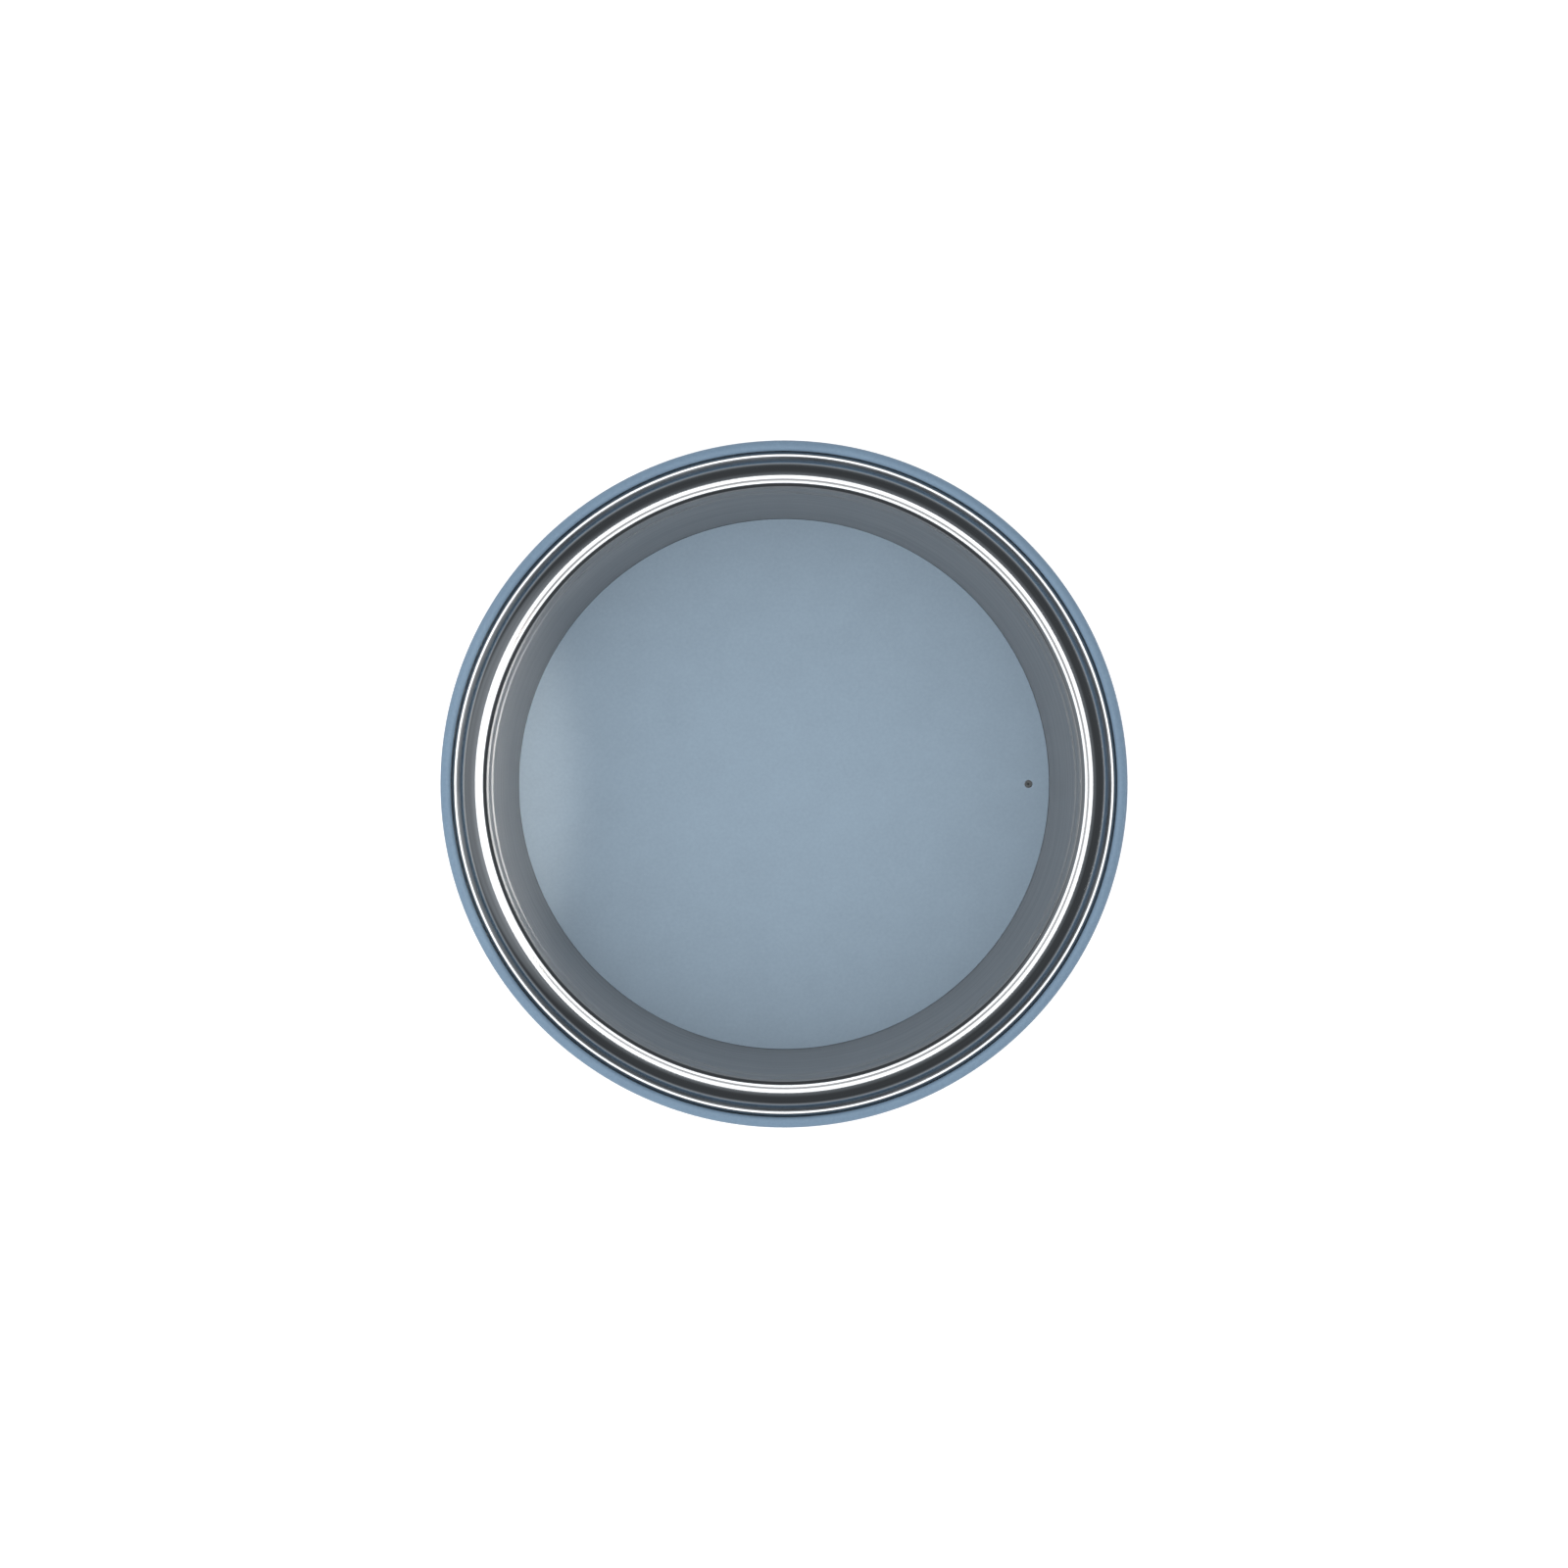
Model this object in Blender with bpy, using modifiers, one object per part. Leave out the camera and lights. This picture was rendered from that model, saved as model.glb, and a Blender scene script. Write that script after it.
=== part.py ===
"""Insulated lunch pot with a plug-in stopper and a screw lid, closed.

Metres, +Z up, origin in the middle of the face that it stands on.
Nearly every piece is turned about Z, so the model is mostly profiles in (radius, height).
"""

import math

import bmesh
import bpy
from mathutils import Matrix, Vector

MM = 0.001

# Facets round a piece
STEPS_SEEN = 40
STEPS_HIDDEN = 32
STEPS_SMALL = 16
FILLET_SHARE = 0.98  # of a side that the fillets at its ends may use up

# Clearances
SEAT_GAP = 0.3 * MM  # between pieces that rest on or in each other
SEAM_GAP = 0.8 * MM  # open joint between the lid's skirt and the shoulder
THREAD_SPACE = 1.7 * MM  # between the neck and the lid core, where the threads mesh
STOPPER_CLEARANCE = 0.7 * MM  # between the plug and the mouth

# Vacuum body
MOUTH_RADIUS = 42.6 * MM
FOOD_DEPTH = 84.0 * MM
LINER_WALL = 0.6 * MM
LINER_CORNER = 9.0 * MM
LIP_ROUND = 0.9 * MM
NECK_VACUUM = 1.4 * MM
NECK_HEIGHT = 15.0 * MM
NECK_ROOT_ROUND = 1.0 * MM
SHELL_WALL = 0.6 * MM
SHOULDER_ROUND = 1.2 * MM
FLOOR_VACUUM = 5.0 * MM
FOIL_WALL = 0.3 * MM
FOIL_TOP_MARGIN = 6.0 * MM

# Base
PAN_WALL = 0.6 * MM
PAN_FLANGE = 4.0 * MM
PAN_ROUND = 1.5 * MM
DIMPLE_RADIUS = 11.0 * MM
DIMPLE_RISE = 1.2 * MM
SEAL_HOLE_RADIUS = 2.2 * MM
SEAL_HEAD_RADIUS = 5.0 * MM
SEAL_HEAD = 0.6 * MM
GETTER_RADIUS = 5.4 * MM
GETTER_THICKNESS = 1.8 * MM
GETTER_CLIP_WALL = 0.4 * MM
CAP_RISE = 0.4 * MM  # the cap's rim above its floor
CAP_FLOOR = 1.8 * MM
CAP_ROUND = 3.2 * MM
CAP_RIM = 2.2 * MM
PAD_RADIUS = 39.2 * MM
PAD_THICKNESS = 1.7 * MM
PAD_PROUD = 0.8 * MM
PAD_GROOVES = 2
PAD_GROOVE_WIDTH = 2.0 * MM
PAD_GROOVE_DEPTH = 0.6 * MM

# Stopper
PLUG_DEPTH = 13.0 * MM
PLUG_WALL = 3.2 * MM
PLUG_FLOOR = 1.6 * MM
PLUG_ROUND = 2.0 * MM
FLANGE = 1.4 * MM
GROOVE_FROM_END = 4.0 * MM
GROOVE_HEIGHT = 4.4 * MM
GROOVE_DEPTH = 1.6 * MM
COVER_WALL = 1.8 * MM
POCKET_RADIUS = 17.0 * MM
POCKET_DEPTH = 8.0 * MM
POCKET_CORNER = 2.0 * MM
POCKET_LIP_ROUND = 0.8 * MM
GRIP_WIDTH = 6.0 * MM
GRIP_BELOW_TOP = 0.8 * MM
GRIP_ROUND = 1.2 * MM
GRIP_ROOT = 1.0 * MM  # how far the web runs into the pocket's wall and floor
VALVE_BORE = 1.5 * MM
VALVE_TUBE_WALL = 1.2 * MM
VALVE_FLANGE_REACH = 1.9 * MM
VALVE_FLANGE = 0.7 * MM
VALVE_HEAD = 0.7 * MM
VALVE_HEAD_INSET = 0.6 * MM
VALVE_STEM = 6.0 * MM

# Screw lid
WASHER_WIDTH = 6.5 * MM
WASHER_THICKNESS = 1.6 * MM
WASHER_CHAMFER = 0.3 * MM
CORE_WALL = 2.2 * MM
CORE_CEILING = 1.8 * MM
LID_WALL = 0.6 * MM
EDGE_WIDTH = 1.6 * MM
EDGE_ROUND = 0.92 * MM
EDGE_INNER_ROUND = 0.62 * MM
EDGE_TURN_DOWN = 2.3 * MM
HEM_TURN_IN = 1.3 * MM
HEM_ROUND = 0.7 * MM

# Steel trim: flange, ogee foot, crest, tighter brow and leaning well wall
TRIM_WALL = 0.5 * MM
TRIM_BELOW_EDGE = 0.9 * MM
TRIM_FLANGE = 0.23 * MM
FOOT_ROUND = 1.2 * MM
CREST_ROUND = 3.5 * MM
OGEE_ANGLE = math.radians(47.6)
BROW_START = math.radians(8)
BROW_SLOPE = math.radians(48)
BROW_ROUND = 0.8 * MM
BROW_WIDTH = 1.1 * MM
WELL_ROLL = 0.8 * MM
WELL_LEAN = 4.1 * MM
WELL_CORNER = 0.5 * MM
WELL_DEPTH = 10.4 * MM

# Disc at the floor of the well
INLAY_THICKNESS = 0.8 * MM
BOND_THICKNESS = 0.3 * MM
BOND_FROM_EDGE = 8.2 * MM
BOND_WIDTH = 16.0 * MM
VENT_FROM_EDGE = 2.4 * MM
VENT_RADIUS = 0.58 * MM
VENT_BUSH_WALL = 0.9 * MM

# Radii that follow, from the mouth outwards
LINER_OUTSIDE = MOUTH_RADIUS + LINER_WALL
NECK_RADIUS = LINER_OUTSIDE + NECK_VACUUM + SHELL_WALL
CORE_INSIDE = NECK_RADIUS + THREAD_SPACE
CORE_RADIUS = CORE_INSIDE + CORE_WALL
BODY_RADIUS = CORE_RADIUS + SEAT_GAP + LID_WALL
PLUG_RADIUS = MOUTH_RADIUS - STOPPER_CLEARANCE
PLUG_INSIDE = PLUG_RADIUS - PLUG_WALL
VALVE_PLACE = (POCKET_RADIUS + COVER_WALL + PLUG_INSIDE) / 2
PAN_RADIUS = BODY_RADIUS - SHELL_WALL - SEAT_GAP
GETTER_PLACE = (DIMPLE_RADIUS + PAN_RADIUS) / 2
COVER_RADIUS = NECK_RADIUS - SEAT_GAP
TRIM_RADIUS = BODY_RADIUS - EDGE_WIDTH - SEAT_GAP
FOOT_START = TRIM_RADIUS - TRIM_FLANGE
CREST_RADIUS = FOOT_START - (FOOT_ROUND + CREST_ROUND) * math.sin(OGEE_ANGLE)
BROW_CENTRE_RADIUS = CREST_RADIUS - (CREST_ROUND - BROW_ROUND) * math.sin(BROW_START)
BROW_RADIUS = BROW_CENTRE_RADIUS - BROW_ROUND * math.sin(BROW_SLOPE)
WELL_TOP_RADIUS = BROW_RADIUS - BROW_WIDTH
WELL_RADIUS = WELL_TOP_RADIUS - WELL_LEAN
VENT_PLACE = WELL_RADIUS - VENT_FROM_EDGE
VENT_BUSH_RADIUS = VENT_RADIUS + VENT_BUSH_WALL
VALVE_TUBE_RADIUS = VALVE_BORE + VALVE_TUBE_WALL
VALVE_FLANGE_RADIUS = VALVE_TUBE_RADIUS + VALVE_FLANGE_REACH

# Heights that follow, from the table upwards
RECESS_TOP = PAD_THICKNESS + SEAT_GAP
CAP_FLOOR_TOP = RECESS_TOP + CAP_FLOOR
CAP_TOP = CAP_FLOOR_TOP + CAP_RISE
PAN_UNDER = CAP_TOP + SEAT_GAP
LINER_UNDER = PAN_UNDER + PAN_WALL + FLOOR_VACUUM
FOOD_FLOOR = LINER_UNDER + LINER_WALL
PLUG_UNDER = FOOD_FLOOR + FOOD_DEPTH
LIP = PLUG_UNDER + PLUG_DEPTH
SHOULDER = LIP - NECK_HEIGHT
FLANGE_UNDER = LIP + SEAT_GAP
FLANGE_TOP = FLANGE_UNDER + FLANGE
COVER_UNDER = FLANGE_TOP + SEAT_GAP
COVER_TOP = COVER_UNDER + COVER_WALL
WASHER_UNDER = COVER_TOP + SEAT_GAP
WASHER_TOP = WASHER_UNDER + WASHER_THICKNESS
CEILING_UNDER = WASHER_TOP + SEAT_GAP
CEILING_TOP = CEILING_UNDER + CORE_CEILING
WELL_UNDER = CEILING_TOP + SEAT_GAP
WELL_FLOOR = WELL_UNDER + TRIM_WALL
BOND_UNDER = WELL_FLOOR + SEAT_GAP
INLAY_UNDER = BOND_UNDER + BOND_THICKNESS + SEAT_GAP
INLAY_TOP = INLAY_UNDER + INLAY_THICKNESS
CREST = INLAY_TOP + WELL_DEPTH
TRIM_FACE = CREST - (FOOT_ROUND + CREST_ROUND) * (1 - math.cos(OGEE_ANGLE))
BROW_CENTRE = CREST - CREST_ROUND + (CREST_ROUND - BROW_ROUND) * math.cos(BROW_START)
BROW = BROW_CENTRE + BROW_ROUND * math.cos(BROW_SLOPE)
WELL_TOP = BROW - BROW_WIDTH * math.tan(BROW_SLOPE)
EDGE_TOP = TRIM_FACE + TRIM_BELOW_EDGE
TRIM_UNDER = EDGE_TOP - EDGE_TURN_DOWN
CORE_TOP = TRIM_UNDER - SEAT_GAP
SKIRT_UNDER = SHOULDER + SEAM_GAP
CORE_UNDER = SKIRT_UNDER + LID_WALL + SEAT_GAP


def clear_scene():
    for thing in list(bpy.data.objects):
        bpy.data.objects.remove(thing)


def new_collection(name):
    made = bpy.data.collections.new(name)
    bpy.context.scene.collection.children.link(made)
    return made


def material(name, colour, roughness, metallic=0.0):
    made = bpy.data.materials.new(name)
    made.use_nodes = True
    shader = made.node_tree.nodes["Principled BSDF"]
    shader.inputs["Base Color"].default_value = (*colour, 1.0)
    shader.inputs["Roughness"].default_value = roughness
    shader.inputs["Metallic"].default_value = metallic
    return made


clear_scene()
POT = new_collection("lunch_pot")
CUTTERS = new_collection("cutters")
COAT = material("blue_powder_coat", (0.20, 0.29, 0.41), 0.5)
STEEL = material("polished_steel", (0.60, 0.61, 0.62), 0.12, 1.0)
BARE_STEEL = material("drawn_steel", (0.55, 0.56, 0.57), 0.3, 1.0)
FOIL = material("aluminium_foil", (0.85, 0.85, 0.86), 0.2, 1.0)
SOLDER = material("sealing_metal", (0.35, 0.35, 0.36), 0.4, 1.0)
BLUE_PLASTIC = material("blue_polypropylene", (0.17, 0.25, 0.35), 0.45)
GREY_PLASTIC = material("grey_polypropylene", (0.30, 0.32, 0.34), 0.45)
SILICONE = material("grey_silicone", (0.22, 0.24, 0.26), 0.65)
FOAM = material("insulating_foam", (0.80, 0.79, 0.75), 0.9)
ADHESIVE = material("adhesive", (0.75, 0.74, 0.68), 0.5)


def arc(centre, radius, start, end, steps):
    """Points on a circle in (radius, height), both ends included."""
    angles = [start + (end - start) * i / steps for i in range(steps + 1)]
    return [(centre[0] + radius * math.cos(a), centre[1] + radius * math.sin(a)) for a in angles]


def rounded(corners, steps=3):
    """A path through (radius, height) corners. A third number rounds that corner."""
    path = []
    for i, corner in enumerate(corners):
        if len(corner) == 2:
            path.append(corner)
            continue
        point = Vector(corner[:2])
        back = Vector(corners[i - 1][:2]) - point
        on = Vector(corners[i + 1][:2]) - point
        half = back.angle(on) / 2
        radius = corner[2]
        for side, other in ((back, corners[i - 1]), (on, corners[i + 1])):
            shared = corner[2] + sum(other[2:])
            radius = min(radius, FILLET_SHARE * side.length * corner[2] / shared * math.tan(half))
        centre = point + (back.normalized() + on.normalized()).normalized() * radius / math.sin(half)
        sweep = math.copysign(math.pi - 2 * half, on.x * back.y - on.y * back.x)
        towards_corner = math.atan2(point.y - centre.y, point.x - centre.x)
        path += arc(centre, radius, towards_corner - sweep / 2, towards_corner + sweep / 2, steps)
    return path


def turned(name, path, finish, steps, wall=0.0, place=0.0):
    """A piece turned about the upright axis at a place on X, from a path in (radius, height).

    A path from axis to axis makes a solid, one that stays off the axis is closed into a ring,
    and with a wall the path is the seen side of a shell.
    """
    edges = [(i, i + 1) for i in range(len(path) - 1)]
    if not wall and path[0][0] > 0:
        edges.append((len(path) - 1, 0))
    mesh = bpy.data.meshes.new(name)
    mesh.from_pydata([(r, 0.0, z) for r, z in path], edges, [])
    mesh.materials.append(finish)
    piece = bpy.data.objects.new(name, mesh)
    piece.location = (place, 0.0, 0.0)
    POT.objects.link(piece)
    screw = piece.modifiers.new("Turn", "SCREW")
    screw.steps = steps
    screw.render_steps = steps
    screw.use_merge_vertices = True
    screw.merge_threshold = 1e-6
    if wall:
        shell = piece.modifiers.new("Wall", "SOLIDIFY")
        shell.thickness = wall
        shell.offset = -1.0
        shell.use_even_offset = True
    return piece


def helper(name, shape):
    """A cutter or an addition that is not a piece by itself."""
    mesh = bpy.data.meshes.new(name)
    shape.to_mesh(mesh)
    shape.free()
    tool = bpy.data.objects.new(name, mesh)
    tool.hide_render = True
    tool.display_type = "WIRE"
    CUTTERS.objects.link(tool)
    return tool


def combine(piece, tool, operation):
    boolean = piece.modifiers.new(tool.name, "BOOLEAN")
    boolean.operation = operation
    boolean.object = tool


def drill(piece, place, radius, bottom, top):
    """An upright round hole at a place on X."""
    shape = bmesh.new()
    bmesh.ops.create_cone(
        shape,
        cap_ends=True,
        segments=STEPS_SMALL,
        radius1=radius,
        radius2=radius,
        depth=top - bottom,
        matrix=Matrix.Translation((place, 0.0, (bottom + top) / 2)),
    )
    combine(piece, helper(piece.name + "_drill", shape), "DIFFERENCE")


def settle(piece):
    """Applies the piece's modifiers, and shades it smooth with its corners sharp."""
    evaluated = piece.evaluated_get(bpy.context.evaluated_depsgraph_get())
    mesh = bpy.data.meshes.new_from_object(evaluated)
    mesh.name = piece.name
    mesh.shade_smooth()
    mesh.set_sharp_from_angle(angle=math.radians(35))
    piece.modifiers.clear()
    piece.data = mesh


def outer_shell():
    path = rounded(
        [
            (NECK_RADIUS, LIP - LINER_WALL - SEAT_GAP),
            (NECK_RADIUS, SHOULDER, NECK_ROOT_ROUND),
            (BODY_RADIUS, SHOULDER, SHOULDER_ROUND),
            (BODY_RADIUS, PAN_UNDER),
        ]
    )
    return turned("outer_shell", path, COAT, STEPS_SEEN, wall=SHELL_WALL)


def inner_liner():
    path = rounded(
        [
            (0.0, FOOD_FLOOR),
            (MOUTH_RADIUS, FOOD_FLOOR, LINER_CORNER),
            (MOUTH_RADIUS, LIP, LIP_ROUND),
            (NECK_RADIUS, LIP),
        ],
        4,
    )
    return turned("inner_liner", path, BARE_STEEL, STEPS_HIDDEN, wall=LINER_WALL)


def foil():
    """Foil wrap and disc that hold back radiated heat, just clear of the liner."""
    inside = LINER_OUTSIDE + SEAT_GAP
    outside = inside + FOIL_WALL
    top = SHOULDER - FOIL_TOP_MARGIN
    bottom = FOOD_FLOOR + LINER_CORNER
    sleeve = [(outside, top), (outside, bottom), (inside, bottom), (inside, top)]
    turned("foil_sleeve", sleeve, FOIL, STEPS_HIDDEN)
    top = LINER_UNDER - SEAT_GAP
    radius = MOUTH_RADIUS - LINER_CORNER
    disc = [(0.0, top), (radius, top), (radius, top - FOIL_WALL), (0.0, top - FOIL_WALL)]
    turned("foil_disc", disc, FOIL, STEPS_HIDDEN)


def base_pan():
    """Pressed bottom of the vacuum space, with its seal in a raised dimple."""
    dimple = PAN_UNDER + DIMPLE_RISE
    path = rounded(
        [
            (PAN_RADIUS, PAN_UNDER + PAN_FLANGE),
            (PAN_RADIUS, PAN_UNDER, PAN_ROUND),
            (DIMPLE_RADIUS + DIMPLE_RISE, PAN_UNDER),
            (DIMPLE_RADIUS, dimple),
            (SEAL_HOLE_RADIUS, dimple),
        ]
    )
    turned("base_pan", path, BARE_STEEL, STEPS_HIDDEN, wall=PAN_WALL)
    stem = SEAL_HOLE_RADIUS - SEAT_GAP
    head_top = dimple - SEAT_GAP
    head_under = head_top - SEAL_HEAD
    plug = [
        (0.0, dimple + PAN_WALL),
        (stem, dimple + PAN_WALL),
        (stem, head_top),
        (SEAL_HEAD_RADIUS, head_top),
        (SEAL_HEAD_RADIUS - SEAL_HEAD, head_under),
        (0.0, head_under),
    ]
    turned("seal_plug", plug, SOLDER, STEPS_SMALL)


def getter():
    """Gas-absorbing pill in its small cup, on the pan's inner side."""
    clip_top = PAN_UNDER + PAN_WALL + SEAT_GAP + GETTER_CLIP_WALL
    clip_radius = GETTER_RADIUS + SEAT_GAP
    pill_under = clip_top + SEAT_GAP
    pill_top = pill_under + GETTER_THICKNESS
    clip = [(0.0, clip_top), (clip_radius, clip_top), (clip_radius, pill_top)]
    turned("getter_clip", clip, BARE_STEEL, STEPS_SMALL, GETTER_CLIP_WALL, GETTER_PLACE)
    pill = [(0.0, pill_top), (GETTER_RADIUS, pill_top), (GETTER_RADIUS, pill_under), (0.0, pill_under)]
    turned("getter_pill", pill, SOLDER, STEPS_SMALL, place=GETTER_PLACE)


def base_cap():
    rim = BODY_RADIUS - CAP_RIM
    recess = PAD_RADIUS + SEAT_GAP
    path = rounded(
        [
            (0.0, CAP_FLOOR_TOP),
            (rim, CAP_FLOOR_TOP),
            (rim, CAP_TOP),
            (BODY_RADIUS, CAP_TOP),
            (BODY_RADIUS, PAD_PROUD, CAP_ROUND),
            (recess, PAD_PROUD),
            (recess, RECESS_TOP),
            (0.0, RECESS_TOP),
        ],
        4,
    )
    turned("base_cap", path, BLUE_PLASTIC, STEPS_SEEN)


def base_pad():
    """Non-slip pad with ring grooves on the side that it stands on."""
    path = [(0.0, PAD_THICKNESS), (PAD_RADIUS, PAD_THICKNESS), (PAD_RADIUS, 0.0)]
    pitch = PAD_RADIUS / (PAD_GROOVES + 1)
    for ring in range(PAD_GROOVES, 0, -1):
        outer = ring * pitch + PAD_GROOVE_WIDTH / 2
        inner = outer - PAD_GROOVE_WIDTH
        path += [(outer, 0.0), (outer, PAD_GROOVE_DEPTH), (inner, PAD_GROOVE_DEPTH), (inner, 0.0)]
    turned("base_pad", path + [(0.0, 0.0)], SILICONE, STEPS_HIDDEN)


def stopper_cup():
    """Moulded plug with a groove for its gasket, hung on the lip by its flange."""
    inside_floor = PLUG_UNDER + PLUG_FLOOR
    groove_under = PLUG_UNDER + GROOVE_FROM_END
    groove_top = groove_under + GROOVE_HEIGHT
    groove = PLUG_RADIUS - GROOVE_DEPTH
    path = rounded(
        [
            (0.0, inside_floor),
            (PLUG_INSIDE, inside_floor),
            (PLUG_INSIDE, FLANGE_TOP),
            (COVER_RADIUS, FLANGE_TOP),
            (COVER_RADIUS, FLANGE_UNDER),
            (PLUG_RADIUS, FLANGE_UNDER),
            (PLUG_RADIUS, groove_top),
            (groove, groove_top),
            (groove, groove_under),
            (PLUG_RADIUS, groove_under),
            (PLUG_RADIUS, PLUG_UNDER, PLUG_ROUND),
            (0.0, PLUG_UNDER),
        ]
    )
    cup = turned("stopper_cup", path, GREY_PLASTIC, STEPS_HIDDEN)
    drill(cup, VALVE_PLACE, VALVE_TUBE_RADIUS + SEAT_GAP, PLUG_UNDER - MM, inside_floor + MM)

    seal = MOUTH_RADIUS - SEAT_GAP
    root = PLUG_RADIUS - SEAT_GAP
    back = groove + SEAT_GAP
    top = groove_top - SEAT_GAP
    under = groove_under + SEAT_GAP
    quarter = (top - under) / 4
    lips = [
        (root, top),
        (seal, top - quarter),
        (root, top - 2 * quarter),
        (seal, top - 3 * quarter),
        (root, under),
        (back, under),
        (back, top),
    ]
    turned("stopper_gasket", lips, SILICONE, STEPS_HIDDEN)


def stopper_cover():
    """Top plate with a round finger pocket and a web across it to lift the stopper by."""
    pocket_floor = COVER_TOP - POCKET_DEPTH
    outside = POCKET_RADIUS + COVER_WALL
    path = rounded(
        [
            (0.0, pocket_floor),
            (POCKET_RADIUS, pocket_floor, POCKET_CORNER),
            (POCKET_RADIUS, COVER_TOP, POCKET_LIP_ROUND),
            (COVER_RADIUS, COVER_TOP),
            (COVER_RADIUS, COVER_UNDER),
            (outside, COVER_UNDER),
            (outside, pocket_floor - COVER_WALL, POCKET_CORNER),
            (0.0, pocket_floor - COVER_WALL),
        ]
    )
    cover = turned("stopper_cover", path, GREY_PLASTIC, STEPS_HIDDEN)
    length = 2 * (POCKET_RADIUS + GRIP_ROOT)
    bottom = pocket_floor - GRIP_ROOT
    height = COVER_TOP - GRIP_BELOW_TOP - bottom
    middle = bottom + height / 2
    shape = bmesh.new()
    bmesh.ops.create_cube(
        shape,
        matrix=Matrix.Translation((0.0, 0.0, middle))
        @ Matrix.Diagonal((length, GRIP_WIDTH, height, 1.0)),
    )
    upper = [e for e in shape.edges if min(e.verts[0].co.z, e.verts[1].co.z) > middle]
    along = [e for e in upper if e.verts[0].co.x * e.verts[1].co.x < 0]
    bmesh.ops.bevel(shape, geom=along, offset=GRIP_ROUND, segments=3, profile=0.5, affect="EDGES")
    combine(cover, helper("grip_web", shape), "UNION")
    seat = VALVE_FLANGE_RADIUS + SEAT_GAP
    drill(cover, VALVE_PLACE, VALVE_TUBE_RADIUS + SEAT_GAP, COVER_UNDER - MM, COVER_TOP + MM)
    drill(cover, VALVE_PLACE, seat, COVER_TOP - VALVE_FLANGE - SEAT_GAP, COVER_TOP + MM)


def stopper_foam():
    under = PLUG_UNDER + PLUG_FLOOR + SEAT_GAP
    top = COVER_UNDER - SEAT_GAP
    pocket_under = COVER_TOP - POCKET_DEPTH - COVER_WALL - SEAT_GAP
    pocket = POCKET_RADIUS + COVER_WALL + SEAT_GAP
    outside = PLUG_INSIDE - SEAT_GAP
    path = [
        (0.0, pocket_under),
        (pocket, pocket_under),
        (pocket, top),
        (outside, top),
        (outside, under),
        (0.0, under),
    ]
    foam = turned("stopper_foam", path, FOAM, STEPS_HIDDEN)
    drill(foam, VALVE_PLACE, VALVE_TUBE_RADIUS + SEAT_GAP, under - MM, top + MM)


def vent_valve():
    """Bush through the stopper, and the poppet that rests on it."""
    flange_under = COVER_TOP - VALVE_FLANGE
    bush = [
        (VALVE_FLANGE_RADIUS, COVER_TOP),
        (VALVE_FLANGE_RADIUS, flange_under),
        (VALVE_TUBE_RADIUS, flange_under),
        (VALVE_TUBE_RADIUS, PLUG_UNDER),
        (VALVE_BORE, PLUG_UNDER),
        (VALVE_BORE, COVER_TOP),
    ]
    turned("valve_seat", bush, GREY_PLASTIC, STEPS_SMALL, place=VALVE_PLACE)
    head = VALVE_FLANGE_RADIUS - VALVE_HEAD_INSET
    head_under = COVER_TOP + SEAT_GAP
    head_top = head_under + VALVE_HEAD
    stem = VALVE_BORE - SEAT_GAP
    poppet = [
        (0.0, head_top),
        (head - VALVE_HEAD, head_top),
        (head, head_under + VALVE_HEAD / 2),
        (head, head_under),
        (stem, head_under),
        (stem, head_under - VALVE_STEM),
        (0.0, head_under - VALVE_STEM),
    ]
    turned("valve_poppet", poppet, SILICONE, STEPS_SMALL, place=VALVE_PLACE)


def lid_washer():
    inside = COVER_RADIUS - WASHER_WIDTH
    path = [
        (COVER_RADIUS - WASHER_CHAMFER, WASHER_TOP),
        (COVER_RADIUS, WASHER_TOP - WASHER_CHAMFER),
        (COVER_RADIUS, WASHER_UNDER),
        (inside, WASHER_UNDER),
        (inside, WASHER_TOP),
    ]
    turned("lid_washer", path, SILICONE, STEPS_HIDDEN)


def lid_shell():
    """Drawn skirt: edge rolled over at the top, hem turned in at the bottom."""
    edge = BODY_RADIUS - EDGE_WIDTH
    path = rounded(
        [
            (edge, EDGE_TOP - EDGE_TURN_DOWN),
            (edge, EDGE_TOP, EDGE_INNER_ROUND),
            (BODY_RADIUS, EDGE_TOP, EDGE_ROUND),
            (BODY_RADIUS, SKIRT_UNDER, HEM_ROUND),
            (BODY_RADIUS - HEM_TURN_IN, SKIRT_UNDER),
        ]
    )
    turned("lid_shell", path, COAT, STEPS_SEEN, wall=LID_WALL)


def lid_core():
    """Moulded inner lid: ceiling over the washer, and the skirt that carries the thread."""
    path = [
        (0.0, CEILING_TOP),
        (CORE_INSIDE, CEILING_TOP),
        (CORE_INSIDE, CORE_TOP),
        (CORE_RADIUS, CORE_TOP),
        (CORE_RADIUS, CORE_UNDER),
        (CORE_INSIDE, CORE_UNDER),
        (CORE_INSIDE, CEILING_UNDER),
        (0.0, CEILING_UNDER),
    ]
    core = turned("lid_core", path, GREY_PLASTIC, STEPS_HIDDEN)
    drill(core, VENT_PLACE, VENT_BUSH_RADIUS + SEAT_GAP, CEILING_UNDER - MM, CEILING_TOP + MM)


def well_radius(height):
    """Radius of the well's leaning wall at a height."""
    return WELL_RADIUS + WELL_LEAN * (height - WELL_FLOOR) / (WELL_TOP - WELL_FLOOR)


def well_wall():
    """How wide the well's wall is, measured level."""
    return TRIM_WALL / math.cos(math.atan2(WELL_LEAN, WELL_TOP - WELL_FLOOR))


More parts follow.
